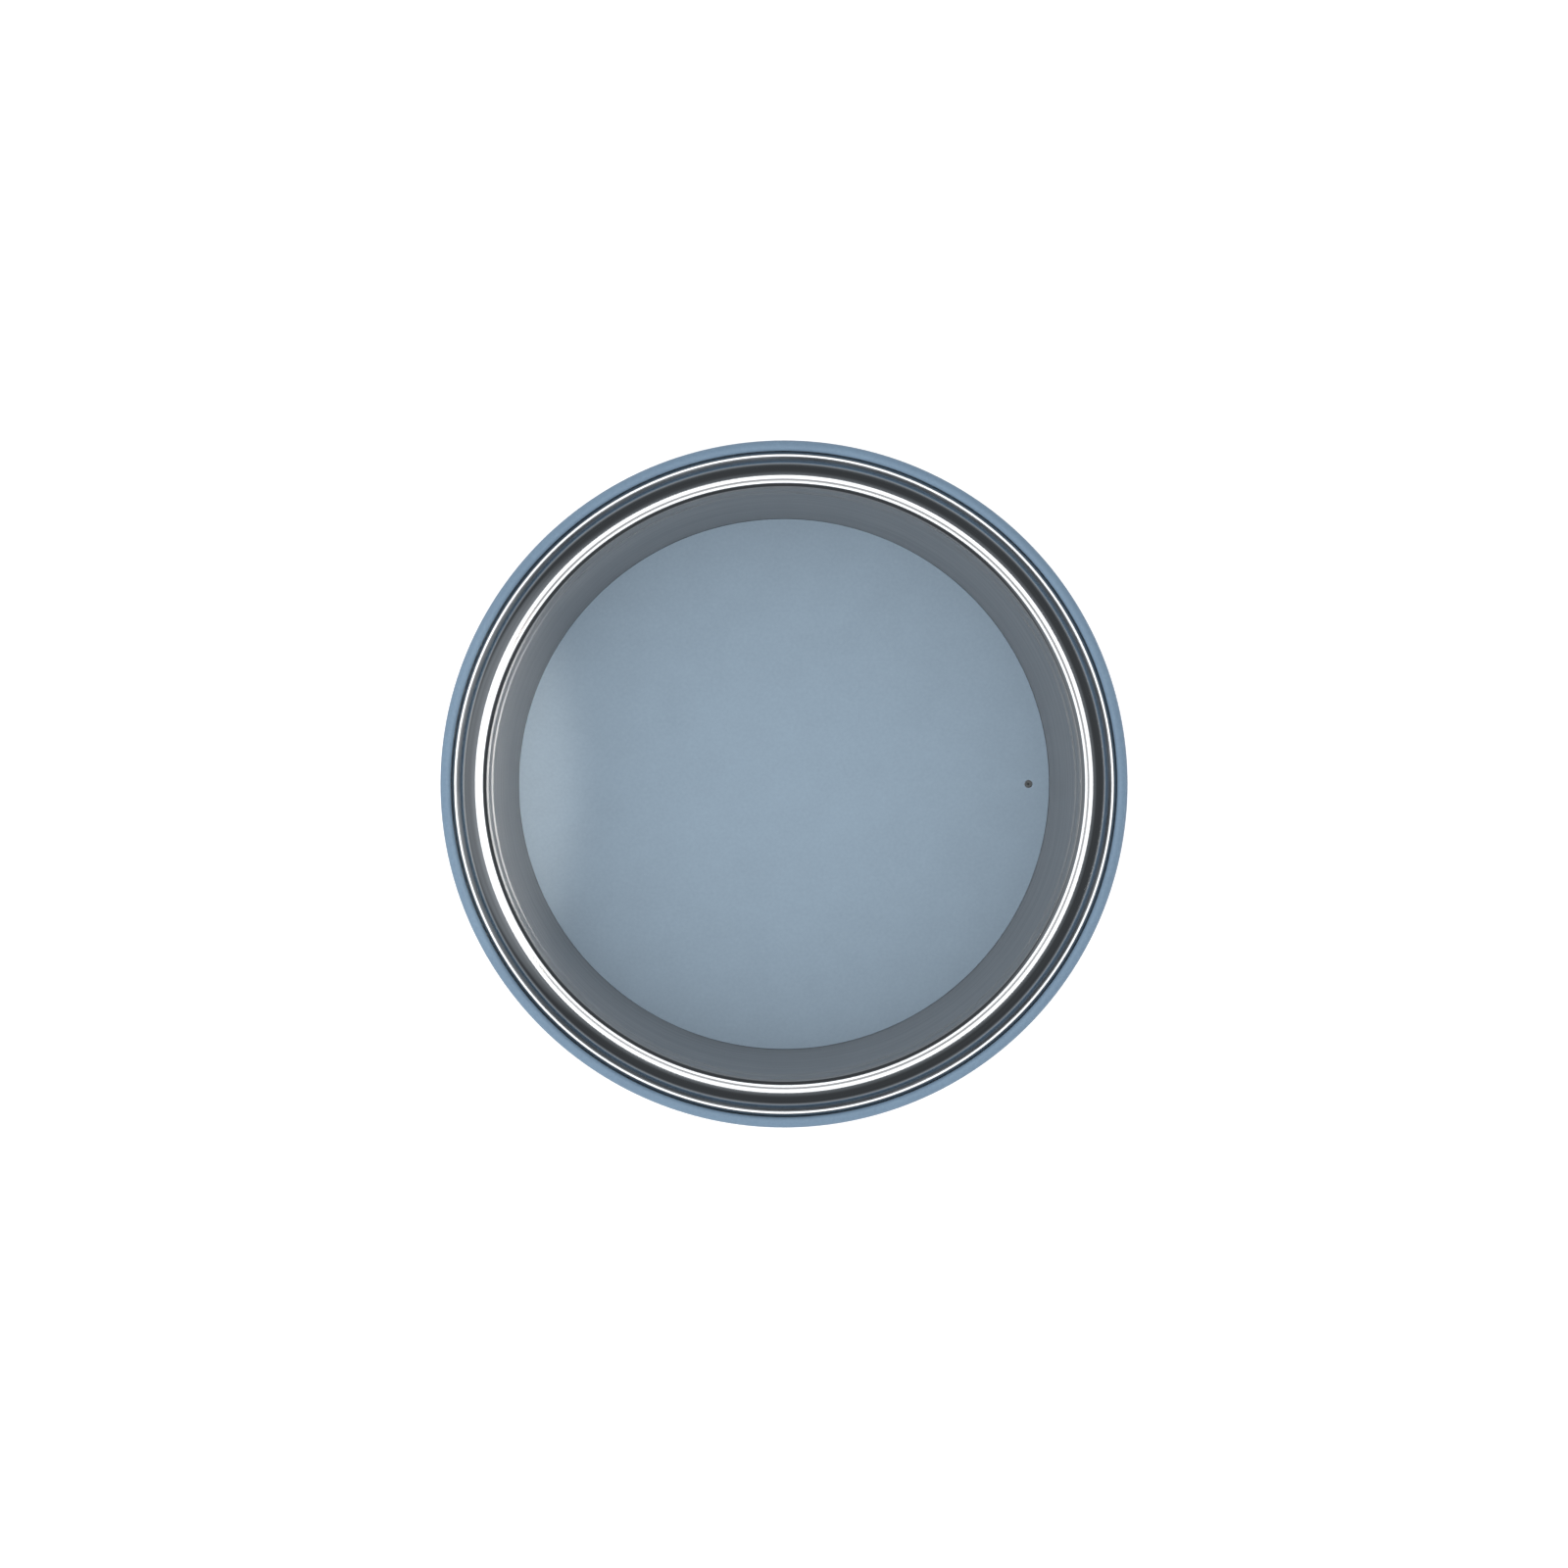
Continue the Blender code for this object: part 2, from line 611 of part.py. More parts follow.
def lid_trim_pan():
    """Polished ring and well in one pressing, from the well's floor out to the flange and back."""
    well = rounded(
        [
            (0.0, WELL_FLOOR),
            (WELL_RADIUS, WELL_FLOOR, WELL_CORNER),
            (WELL_TOP_RADIUS, WELL_TOP, WELL_ROLL),
            (BROW_RADIUS, BROW),
        ]
    )
    upright = math.pi / 2
    brow_centre = (BROW_CENTRE_RADIUS, BROW_CENTRE)
    brow = arc(brow_centre, BROW_ROUND, upright + BROW_SLOPE, upright + BROW_START, 3)[1:]
    crest_centre = (CREST_RADIUS, CREST - CREST_ROUND)
    crest = arc(crest_centre, CREST_ROUND, upright + BROW_START, upright - OGEE_ANGLE, 7)[1:]
    foot_centre = (FOOT_START, TRIM_FACE + FOOT_ROUND)
    foot = arc(foot_centre, FOOT_ROUND, 3 * upright - OGEE_ANGLE, 3 * upright, 3)[1:]
    flange_inside = TRIM_RADIUS - TRIM_WALL
    shelf = TRIM_FACE - TRIM_WALL
    under_crest = CREST - TRIM_WALL
    reach = CREST_ROUND * math.sin(BROW_START) / 2
    underside = [
        (TRIM_RADIUS, TRIM_FACE),
        (TRIM_RADIUS, TRIM_UNDER),
        (flange_inside, TRIM_UNDER),
        (flange_inside, shelf),
        (CREST_RADIUS + CREST_ROUND * math.sin(OGEE_ANGLE), shelf),
        (CREST_RADIUS + reach, under_crest),
        (CREST_RADIUS - reach, under_crest),
        (well_radius(WELL_TOP - TRIM_WALL) + well_wall(), WELL_TOP - TRIM_WALL),
        (well_radius(WELL_UNDER) + well_wall(), WELL_UNDER),
        (0.0, WELL_UNDER),
    ]
    pan = turned("lid_trim_pan", well + brow + crest + foot + underside, STEEL, STEPS_SEEN)
    drill(pan, VENT_PLACE, VENT_BUSH_RADIUS + SEAT_GAP, WELL_UNDER - MM, WELL_FLOOR + MM)


def lid_inlay():
    """Disc on the well's floor, its edge cut to the lean of the wall, with the vent hole."""
    path = [
        (0.0, INLAY_TOP),
        (well_radius(INLAY_TOP) - SEAT_GAP, INLAY_TOP),
        (well_radius(INLAY_UNDER) - SEAT_GAP, INLAY_UNDER),
        (0.0, INLAY_UNDER),
    ]
    inlay = turned("lid_inlay", path, COAT, STEPS_SEEN)
    drill(inlay, VENT_PLACE, VENT_RADIUS, INLAY_UNDER - MM, INLAY_TOP + MM)
    outer = WELL_RADIUS - BOND_FROM_EDGE
    inner = outer - BOND_WIDTH
    top = BOND_UNDER + BOND_THICKNESS
    bond = [(outer, top), (outer, BOND_UNDER), (inner, BOND_UNDER), (inner, top)]
    turned("inlay_bond", bond, ADHESIVE, STEPS_HIDDEN)


def vent_bush():
    """Sleeve that carries the vent from the disc down through the lid."""
    top = INLAY_UNDER - SEAT_GAP
    path = [
        (VENT_BUSH_RADIUS, top),
        (VENT_BUSH_RADIUS, CEILING_UNDER),
        (VENT_RADIUS, CEILING_UNDER),
        (VENT_RADIUS, top),
    ]
    turned("vent_bush", path, GREY_PLASTIC, STEPS_SMALL, place=VENT_PLACE)


def lid_foam():
    """Insulating ring between the well and the lid core."""
    outside = CORE_INSIDE - SEAT_GAP
    top = TRIM_FACE - TRIM_WALL - SEAT_GAP
    clear = well_wall() + SEAT_GAP
    path = [
        (outside, top),
        (outside, WELL_UNDER),
        (well_radius(WELL_UNDER) + clear, WELL_UNDER),
        (well_radius(top) + clear, top),
    ]
    turned("lid_foam", path, FOAM, STEPS_HIDDEN)


def joint_empty(name, place, children, parent=None):
    """An empty on a joint's axis, with the pieces and the empty that move with it."""
    empty = bpy.data.objects.new(name, None)
    empty.empty_display_size = 10 * MM
    empty.location = place
    POT.objects.link(empty)
    bpy.context.view_layer.update()
    for child in children:
        bpy.data.objects[child].parent = empty
        bpy.data.objects[child].matrix_parent_inverse = Matrix.Translation(place).inverted()
    if parent:
        empty.parent = parent
        empty.matrix_parent_inverse = parent.matrix_world.inverted()
    return empty


outer_shell()
inner_liner()
foil()
base_pan()
getter()
base_cap()
base_pad()
stopper_cup()
stopper_cover()
stopper_foam()
vent_valve()
lid_washer()
lid_shell()
lid_core()
lid_trim_pan()
lid_inlay()
vent_bush()
lid_foam()
for made in POT.objects:
    settle(made)

STOPPER_PIECES = ["stopper_cup", "stopper_cover", "stopper_foam", "stopper_gasket", "valve_seat"]
LID_PIECES = ["lid_shell", "lid_core", "lid_trim_pan", "lid_inlay"]
LID_PIECES += ["inlay_bond", "lid_foam", "vent_bush"]
stopper = joint_empty("stopper_lift", (0.0, 0.0, LIP), STOPPER_PIECES)
joint_empty("valve_lift", (VALVE_PLACE, 0.0, COVER_TOP), ["valve_poppet"], stopper)
washer = joint_empty("lid_rise", (0.0, 0.0, WASHER_UNDER), ["lid_washer"], stopper)
joint_empty("lid_turn", (0.0, 0.0, CEILING_UNDER), LID_PIECES, washer)
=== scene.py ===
# Insulated lunch pot, closed, seen from straight above: its finishes, fine shapes and studio.
import math

import bmesh
import bpy
from mathutils import Matrix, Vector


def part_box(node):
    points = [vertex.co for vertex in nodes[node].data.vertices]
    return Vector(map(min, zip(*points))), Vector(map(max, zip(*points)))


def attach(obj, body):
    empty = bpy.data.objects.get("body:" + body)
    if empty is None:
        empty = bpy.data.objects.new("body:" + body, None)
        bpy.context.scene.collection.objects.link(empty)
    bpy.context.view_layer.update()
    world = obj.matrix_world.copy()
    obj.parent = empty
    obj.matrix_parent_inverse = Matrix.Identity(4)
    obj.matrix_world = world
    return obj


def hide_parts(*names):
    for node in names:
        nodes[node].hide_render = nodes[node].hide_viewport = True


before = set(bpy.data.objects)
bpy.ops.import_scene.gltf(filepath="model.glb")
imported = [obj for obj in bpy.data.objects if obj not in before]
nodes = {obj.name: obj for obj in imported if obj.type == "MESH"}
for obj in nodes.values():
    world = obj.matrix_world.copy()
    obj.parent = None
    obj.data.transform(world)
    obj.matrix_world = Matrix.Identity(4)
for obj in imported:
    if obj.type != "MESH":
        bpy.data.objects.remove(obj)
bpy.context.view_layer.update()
print("frame loaded:", len(nodes), "nodes")


# Reading the frame, in millimetres
def topOf(node):
    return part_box(node)[1].z * 1000


def underOf(node):
    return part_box(node)[0].z * 1000


def radiusOf(node):
    low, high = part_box(node)
    return (high.x - low.x) * 500


def placeOf(node):
    low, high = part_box(node)
    return (high.x + low.x) * 500


# Colours and nodes
def linear(hexColour):
    values = []
    for start in (1, 3, 5):
        part = int(hexColour[start : start + 2], 16) / 255
        values.append(part / 12.92 if part <= 0.04045 else ((part + 0.055) / 1.055) ** 2.4)
    return (*values, 1.0)


def addNode(tree, kind, settings, links=None):
    node = tree.nodes.new(kind)
    for name, value in settings.items():
        if isinstance(name, str) and hasattr(node, name):
            setattr(node, name, value)
        else:
            node.inputs[name].default_value = value
    for name, source in (links or {}).items():
        tree.links.new(source, node.inputs[name])
    return node


def newMaterial(name, shaderValues):
    made = bpy.data.materials.new(name)
    made.use_nodes = True
    tree = made.node_tree
    shader = tree.nodes["Principled BSDF"]
    for socket, value in shaderValues.items():
        shader.inputs[socket].default_value = value
    place = addNode(tree, "ShaderNodeTexCoord", {})
    return made, tree, shader, place.outputs["Object"]


# A material whose colour, roughness and relief come from one layer, of grain or of rings
def layeredMaterial(name, shaderValues, layer, values):
    made, tree, shader, where = newMaterial(name, shaderValues)
    layer(tree, shader, where, values)
    return made


# Colour and roughness run over the span of one pattern, and relief follows its fine part
def surfaceOnto(tree, shader, pattern, height, span, values):
    tone = addNode(tree, "ShaderNodeValToRGB", {}, {"Fac": pattern})
    colours = (values["darkColour"], values["lightColour"])
    for stop, place, colour in zip(tone.color_ramp.elements, span, colours):
        stop.position = place
        stop.color = linear(colour)
    tree.links.new(tone.outputs["Color"], shader.inputs["Base Color"])
    gloss = addNode(
        tree,
        "ShaderNodeMapRange",
        {
            "From Min": span[0],
            "From Max": span[1],
            "To Min": values["smooth"],
            "To Max": values["rough"],
        },
        {"Value": pattern},
    )
    tree.links.new(gloss.outputs["Result"], shader.inputs["Roughness"])
    relief = addNode(
        tree,
        "ShaderNodeBump",
        {"Strength": values["reliefStrength"], "Distance": values["reliefDepth"] / 1000},
        {"Height": height},
    )
    tree.links.new(relief.outputs["Normal"], shader.inputs["Normal"])


grainValues = {"detail": 2.0, "roughness": 0.55, "patchShare": 0.4, "span": (0.3, 0.7)}


# Grain over the whole surface, with broader patches in its colour and roughness
def grainOnto(tree, shader, where, values):
    v = grainValues
    grain = addNode(
        tree,
        "ShaderNodeTexNoise",
        {"Scale": 1000 / values["grainSize"], "Detail": v["detail"], "Roughness": v["roughness"]},
        {"Vector": where},
    )
    patches = addNode(
        tree,
        "ShaderNodeTexNoise",
        {"Scale": 1000 / values["patchSize"], "Detail": v["detail"]},
        {"Vector": where},
    )
    both = addNode(
        tree,
        "ShaderNodeMix",
        {"Factor": v["patchShare"]},
        {"A": grain.outputs["Fac"], "B": patches.outputs["Fac"]},
    )
    surfaceOnto(tree, shader, both.outputs["Result"], grain.outputs["Fac"], v["span"], values)


ringValues = {"roughness": 0.6, "heightShare": 0.7, "span": (0.35, 0.65)}


# Lines that run round the axis, as turning, polishing and spinning leave them
def ringsOnto(tree, shader, where, values):
    v = ringValues
    across, along, height = addNode(
        tree, "ShaderNodeSeparateXYZ", {}, {"Vector": where}
    ).outputs
    square = addNode(tree, "ShaderNodeMath", {"operation": "MULTIPLY"}, {0: across, 1: across})
    squares = addNode(
        tree,
        "ShaderNodeMath",
        {"operation": "MULTIPLY_ADD"},
        {0: along, 1: along, 2: square.outputs[0]},
    )
    radius = addNode(tree, "ShaderNodeMath", {"operation": "SQRT"}, {0: squares.outputs[0]})
    level = addNode(
        tree,
        "ShaderNodeMath",
        {"operation": "MULTIPLY_ADD", 1: v["heightShare"]},
        {0: height, 2: radius.outputs[0]},
    )
    point = addNode(tree, "ShaderNodeCombineXYZ", {}, {"Z": level.outputs[0]})
    # The turn round the axis changes the pattern slowly, the step across the lines quickly
    for axis, part in (("X", across), ("Y", along)):
        outward = addNode(
            tree, "ShaderNodeMath", {"operation": "DIVIDE"}, {0: part, 1: radius.outputs[0]}
        )
        turn = addNode(
            tree,
            "ShaderNodeMath",
            {"operation": "MULTIPLY", 1: values["lineLength"] / 1000},
            {0: outward.outputs[0]},
        )
        tree.links.new(turn.outputs[0], point.inputs[axis])
    lines = addNode(
        tree,
        "ShaderNodeTexNoise",
        {
            "Scale": 1000 / values["lineWidth"],
            "Detail": values["lineDetail"],
            "Roughness": v["roughness"],
        },
        {"Vector": point.outputs["Vector"]},
    )
    surfaceOnto(tree, shader, lines.outputs["Fac"], lines.outputs["Fac"], v["span"], values)


# Polyester powder coat, baked: an even matte blue with a fine orange-peel grain
powderCoatValues = {
    "darkColour": "#72899F",
    "lightColour": "#7A93A9",
    "ior": 1.5,
    "shine": 0.35,
    "smooth": 0.46,
    "rough": 0.56,
    "grainSize": 0.45,  # real grain is about 0.1 mm; drawn coarser so that it shows
    "patchSize": 7.0,
    "reliefStrength": 0.35,
    "reliefDepth": 0.02,
}


def powderCoat(name, values):
    shaderValues = {"IOR": values["ior"], "Specular IOR Level": values["shine"]}
    return layeredMaterial(name, shaderValues, grainOnto, values)


bluePowderCoat = powderCoat("bluePowderCoat", powderCoatValues)

# The disc's coat is rougher, and its colours are greyer and paler than the body's coat: a painted
# sheen
discCoatValues = {
    **powderCoatValues,
    "darkColour": "#8498A9",
    "lightColour": "#8CA0B1",
    "shine": 0.5,
    "smooth": 0.5,
    "rough": 0.62,
    "patchSize": 5.0,
    "reliefStrength": 0.5,
    "shadeRadius": 38.6,
    "edgeShadeShare": 0.82,
}


# Painted shade: the disc's colour darkens from its middle towards its edge, where the well's wall
# shades it
def discCoatWithPaintedShade():
    v = discCoatValues
    made = powderCoat("blueDiscCoat", v)
    tree = made.node_tree
    shader = tree.nodes["Principled BSDF"]
    coat = shader.inputs["Base Color"].links[0].from_socket
    place = addNode(tree, "ShaderNodeTexCoord", {})
    across = addNode(
        tree,
        "ShaderNodeVectorMath",
        {"operation": "MULTIPLY", 1: (1000 / v["shadeRadius"], 1000 / v["shadeRadius"], 0.0)},
        {0: place.outputs["Object"]},
    )
    square = addNode(
        tree,
        "ShaderNodeVectorMath",
        {"operation": "DOT_PRODUCT"},
        {0: across.outputs["Vector"], 1: across.outputs["Vector"]},
    )
    # Painted shade: none in the middle, full at the disc's edge
    share = addNode(
        tree,
        "ShaderNodeMapRange",
        {"To Min": 1.0, "To Max": v["edgeShadeShare"]},
        {"Value": square.outputs["Value"]},
    )
    shadedCoat = addNode(
        tree,
        "ShaderNodeVectorMath",
        {"operation": "SCALE"},
        {0: coat, "Scale": share.outputs["Result"]},
    )
    tree.links.new(shadedCoat.outputs["Vector"], shader.inputs["Base Color"])
    return made


blueDiscCoat = discCoatWithPaintedShade()

# Mirror-polished stainless steel: sharp reflections with faint polishing lines round it
polishedSteelValues = {
    "darkColour": "#C4C6C8",
    "lightColour": "#CED0D2",
    "smooth": 0.07,
    "rough": 0.13,
    "lineLength": 0.35,
    "lineWidth": 0.3,  # real lines are a few hundredths of a millimetre; drawn coarser to show
    "lineDetail": 1.0,
    "reliefStrength": 0.05,
    "reliefDepth": 0.004,
}

# Satin stainless steel of the well's wall: a soft grey that only hints at the disc's blue
satinSteelValues = {
    **polishedSteelValues,
    "darkColour": "#C6C5C5",
    "lightColour": "#D0CFCF",
    "smooth": 0.58,
    "rough": 0.64,
    "reliefStrength": 0.15,
}

# Spun and brushed stainless steel: a soft sheen streaked round the axis
brushedSteelValues = {
    "darkColour": "#B2B4B6",
    "lightColour": "#CACCCE",
    "smooth": 0.26,
    "rough": 0.4,
    "lineLength": 1.2,
    "lineWidth": 0.3,  # real brushing is about 0.1 mm; drawn coarser so that it shows
    "lineDetail": 3.0,
    "reliefStrength": 0.35,
    "reliefDepth": 0.01,
}
metal = {"Metallic": 1.0}
polishedSteel = layeredMaterial("polishedSteel", metal, ringsOnto, polishedSteelValues)
satinSteel = layeredMaterial("satinSteel", metal, ringsOnto, satinSteelValues)
brushedSteel = layeredMaterial("brushedSteel", metal, ringsOnto, brushedSteelValues)

# Moulded polypropylene with a spark-eroded texture: even, dull and slightly waxy
greyPolypropyleneValues = {
    "darkColour": "#8F9395",
    "lightColour": "#9B9FA1",
    "smooth": 0.4,
    "rough": 0.52,
    "grainSize": 0.35,
    "patchSize": 9.0,
    "reliefStrength": 0.3,
    "reliefDepth": 0.015,
}
bluePolypropyleneValues = {
    **greyPolypropyleneValues,
    "darkColour": "#6F86A0",
    "lightColour": "#7A91AA",
}

# Pressed silicone rubber: dull, with a bloom of fine dust-like grain
greySiliconeValues = {
    "darkColour": "#7B8083",
    "lightColour": "#868B8E",
    "smooth": 0.6,
    "rough": 0.74,
    "grainSize": 0.5,
    "patchSize": 6.0,
    "reliefStrength": 0.25,
    "reliefDepth": 0.02,
}

# Acrylic transfer adhesive: milky, slightly glossy, with trapped cloudiness
acrylicAdhesiveValues = {
    "darkColour": "#DAD6CB",
    "lightColour": "#E6E2D8",
    "smooth": 0.28,
    "rough": 0.42,
    "grainSize": 1.5,
    "patchSize": 4.0,
    "reliefStrength": 0.3,
    "reliefDepth": 0.03,
}
moulded = {"IOR": 1.49}
greyPolypropylene = layeredMaterial(
    "greyPolypropylene", moulded, grainOnto, greyPolypropyleneValues
)
bluePolypropylene = layeredMaterial(
    "bluePolypropylene", moulded, grainOnto, bluePolypropyleneValues
)
greySilicone = layeredMaterial("greySilicone", moulded, grainOnto, greySiliconeValues)
acrylicAdhesive = layeredMaterial("acrylicAdhesive", moulded, grainOnto, acrylicAdhesiveValues)

# Sealing alloy, melted and set: dull grey with soft lumps
sealingAlloyValues = {
    "darkColour": "#8E8F91",
    "lightColour": "#A5A6A8",
    "smooth": 0.32,
    "rough": 0.5,
    "grainSize": 0.8,
    "patchSize": 2.5,
    "reliefStrength": 0.5,
    "reliefDepth": 0.05,
}
sealingAlloy = layeredMaterial("sealingAlloy", metal, grainOnto, sealingAlloyValues)

# Rolled aluminium foil: bright, with broad crinkles
foilValues = {
    "colour": "#EBEBEC",
    "roughness": 0.22,
    "crinkleSize": 6.0,
    "crinkleStrength": 0.6,
    "crinkleDepth": 0.35,
}


def rolledFoil():
    v = foilValues
    shaderValues = {**metal, "Roughness": v["roughness"], "Base Color": linear(v["colour"])}
    made, tree, shader, where = newMaterial("aluminiumFoil", shaderValues)
    crinkles = addNode(
        tree,
        "ShaderNodeTexVoronoi",
        {"Scale": 1000 / v["crinkleSize"], "feature": "DISTANCE_TO_EDGE"},
        {"Vector": where},
    )
    relief = addNode(
        tree,
        "ShaderNodeBump",
        {"Strength": v["crinkleStrength"], "Distance": v["crinkleDepth"] / 1000},
        {"Height": crinkles.outputs["Distance"]},
    )
    tree.links.new(relief.outputs["Normal"], shader.inputs["Normal"])
    return made


aluminiumFoil = rolledFoil()

# Open-cell polyurethane foam: off-white, pitted with small cells
foamValues = {
    "pitShadeColour": "#BDB8AA",
    "topColour": "#EAE6DB",
    "topFrom": 0.6,
    "roughness": 0.92,
    "cellSize": 1.1,
    "cellStrength": 0.8,
    "cellDepth": 0.5,
}


def openCellFoam():
    v = foamValues
    made, tree, shader, where = newMaterial("openCellFoam", {"Roughness": v["roughness"]})
    cells = addNode(
        tree, "ShaderNodeTexVoronoi", {"Scale": 1000 / v["cellSize"]}, {"Vector": where}
    )
    # Painted shade: the colour is darker in the cells' pits than on their tops
    tone = addNode(tree, "ShaderNodeValToRGB", {}, {"Fac": cells.outputs["Distance"]})
    shadedPit, top = tone.color_ramp.elements
    shadedPit.color = linear(v["pitShadeColour"])
    top.color = linear(v["topColour"])
    top.position = v["topFrom"]
    tree.links.new(tone.outputs["Color"], shader.inputs["Base Color"])
    relief = addNode(
        tree,
        "ShaderNodeBump",
        {"Strength": v["cellStrength"], "Distance": v["cellDepth"] / 1000},
        {"Height": cells.outputs["Distance"]},
    )
    tree.links.new(relief.outputs["Normal"], shader.inputs["Normal"])
    return made


polyurethaneFoam = openCellFoam()
print("finishes made")

# Seat gap is what the solids keep between pieces that rest on or in each other
shapeValues = {
    "seatGap": 0.3,
    "cornerSegments": 6,
    "cornerShare": 0.98,
    "mergeUnder": 0.001,
    "sharpFrom": 38.0,
    "holeSegments": 64,
    "drillPast": 2.0,
}
seatGap = shapeValues["seatGap"]
drillPast = shapeValues["drillPast"]


# An outline is drawn with these moves, in millimetres of radius and height:
# (radius, height) goes straight there, a third number rounds that corner, and
# (centre radius, centre height, degrees, segments) swings on round that centre.
def drawOutline(shape, moves, closed):
    last = None
    first = None
    rounds = []
    for move in moves:
        if len(move) == 4:
            centre = (move[0] / 1000, 0.0, move[1] / 1000)
            swept = bmesh.ops.spin(
                shape,
                geom=[last],
                cent=centre,
                axis=(0.0, 1.0, 0.0),
                angle=math.radians(move[2]),
                steps=move[3],
                use_merge=False,
            )
            last = [v for v in swept["geom_last"] if isinstance(v, bmesh.types.BMVert)][0]
            continue
        corner = shape.verts.new((move[0] / 1000, 0.0, move[1] / 1000))
        if last is not None:
            shape.edges.new((last, corner))
        if len(move) == 3:
            rounds.append((corner, move[2] / 1000))
        first = first or corner
        last = corner
    if closed:
        shape.edges.new((last, first))
    for corner, radius in rounds:
        ways = [e.other_vert(corner).co - corner.co for e in corner.link_edges]
        reach = radius / math.tan(ways[0].angle(ways[1]) / 2)
        room = shapeValues["cornerShare"] * min(ways[0].length, ways[1].length)
        bmesh.ops.bevel(
            shape,
            geom=[corner],
            offset=min(reach, room),
            offset_type="OFFSET",
            segments=shapeValues["cornerSegments"],
            profile=0.5,
            affect="VERTICES",
            material=-1,
        )


def objectFrom(name, shape):
    mesh = bpy.data.meshes.new(name)
    shape.to_mesh(mesh)
    shape.free()
    made = bpy.data.objects.new(name, mesh)
    bpy.context.scene.collection.objects.link(made)
    return made


def finishPiece(name, shape, body, finish, stands=()):
    piece = objectFrom(name, shape)
    piece.data.materials.append(finish)
    piece.data.shade_smooth()
    piece.data.set_sharp_from_angle(angle=math.radians(shapeValues["sharpFrom"]))
    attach(piece, body)
    if stands:
        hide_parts(*stands)
    return piece


def turnOutline(shape, steps):
    bmesh.ops.spin(
        shape,
        geom=shape.verts[:] + shape.edges[:],
        cent=(0.0, 0.0, 0.0),
        axis=(0.0, 0.0, 1.0),
        angle=math.tau,
        steps=steps,
        use_merge=True,
    )
    merge = shapeValues["mergeUnder"] / 1000
    bmesh.ops.remove_doubles(shape, verts=shape.verts[:], dist=merge)
    bmesh.ops.recalc_face_normals(shape, faces=shape.faces[:])


# An outline turned round an upright axis; place is how far +X that axis stands
def turnedPiece(name, moves, steps, body, finish, stands, place=0.0):
    shape = bmesh.new()
    drawOutline(shape, moves, closed=moves[0][0] > 0)
    turnOutline(shape, steps)
    bmesh.ops.translate(shape, verts=shape.verts[:], vec=(place / 1000, 0.0, 0.0))
    return finishPiece(name, shape, body, finish, stands)


# Cuts an upright round hole through a finished piece
def cutHole(piece, place, radius, under, top):
    shape = bmesh.new()
    bmesh.ops.create_cone(
        shape,
        cap_ends=True,
        segments=shapeValues["holeSegments"],
        radius1=radius / 1000,
        radius2=radius / 1000,
        depth=(top - under) / 1000,
        matrix=Matrix.Translation((place / 1000, 0.0, (under + top) / 2000)),
    )
    drill = objectFrom("drill", shape)
    cut = piece.modifiers.new("hole", "BOOLEAN")
    cut.operation = "DIFFERENCE"
    cut.solver = "EXACT"
    cut.object = drill
    graph = bpy.context.evaluated_depsgraph_get()
    made = bpy.data.meshes.new_from_object(piece.evaluated_get(graph))
    made.name = piece.name
    made.set_sharp_from_angle(angle=math.radians(shapeValues["sharpFrom"]))
    piece.modifiers.clear()
    piece.data = made
    bpy.data.objects.remove(drill)


bodyRadius = radiusOf("outer_shell")
neckValues = {
    "radius": 45.2,
    "wall": 0.6,
    "shoulderBelowLip": 15.0,
    "rootRound": 1.0,
    "shoulderRound": 1.2,
    "insideRound": 0.6,
    "insideRoot": 1.6,
    "bareCollar": 1.6,
    "bareUnder": 0.3,
    "steps": 192,
}


# Double wall's outer skin: coated side and shoulder, bare neck and inside
def bodyShell():
    v = neckValues
    top = topOf("outer_shell")
    under = underOf("outer_shell")
    shoulder = topOf("inner_liner") - v["shoulderBelowLip"]
    moves = [
        (v["radius"], top),
        (v["radius"], shoulder, v["rootRound"]),
        (bodyRadius, shoulder, v["shoulderRound"]),
        (bodyRadius, under),
        (bodyRadius - v["wall"], under),
        (bodyRadius - v["wall"], shoulder - v["wall"], v["insideRound"]),
        (v["radius"] - v["wall"], shoulder - v["wall"], v["insideRoot"]),
        (v["radius"] - v["wall"], top),
    ]
    piece = turnedPiece("body_shell", moves, v["steps"], "pot", bluePowderCoat, ["outer_shell"])
    piece.data.materials.append(brushedSteel)
    for face in piece.data.polygons:
        across = face.center.xy.length * 1000
        within = across < bodyRadius - v["wall"] / 2
        inside = within and face.center.z * 1000 < shoulder - v["bareUnder"]
        if across < v["radius"] + v["bareCollar"] or inside:
            face.material_index = 1


threadValues = {
    "starts": 2,
    "lead": 10.0,
    "turns": 0.8,
    "belowLip": 12.0,
    "reach": 1.15,
    "ridgeWidth": 2.6,
    "profile": ((-1.0, 0.0), (-0.72, 0.55), (-0.3, 1.0), (0.3, 1.0), (0.72, 0.55), (1.0, 0.0)),
    "buried": 0.25,
    "taperShare": 0.09,
    "mergeUnder": 0.0001,
    "steps": 96,
}


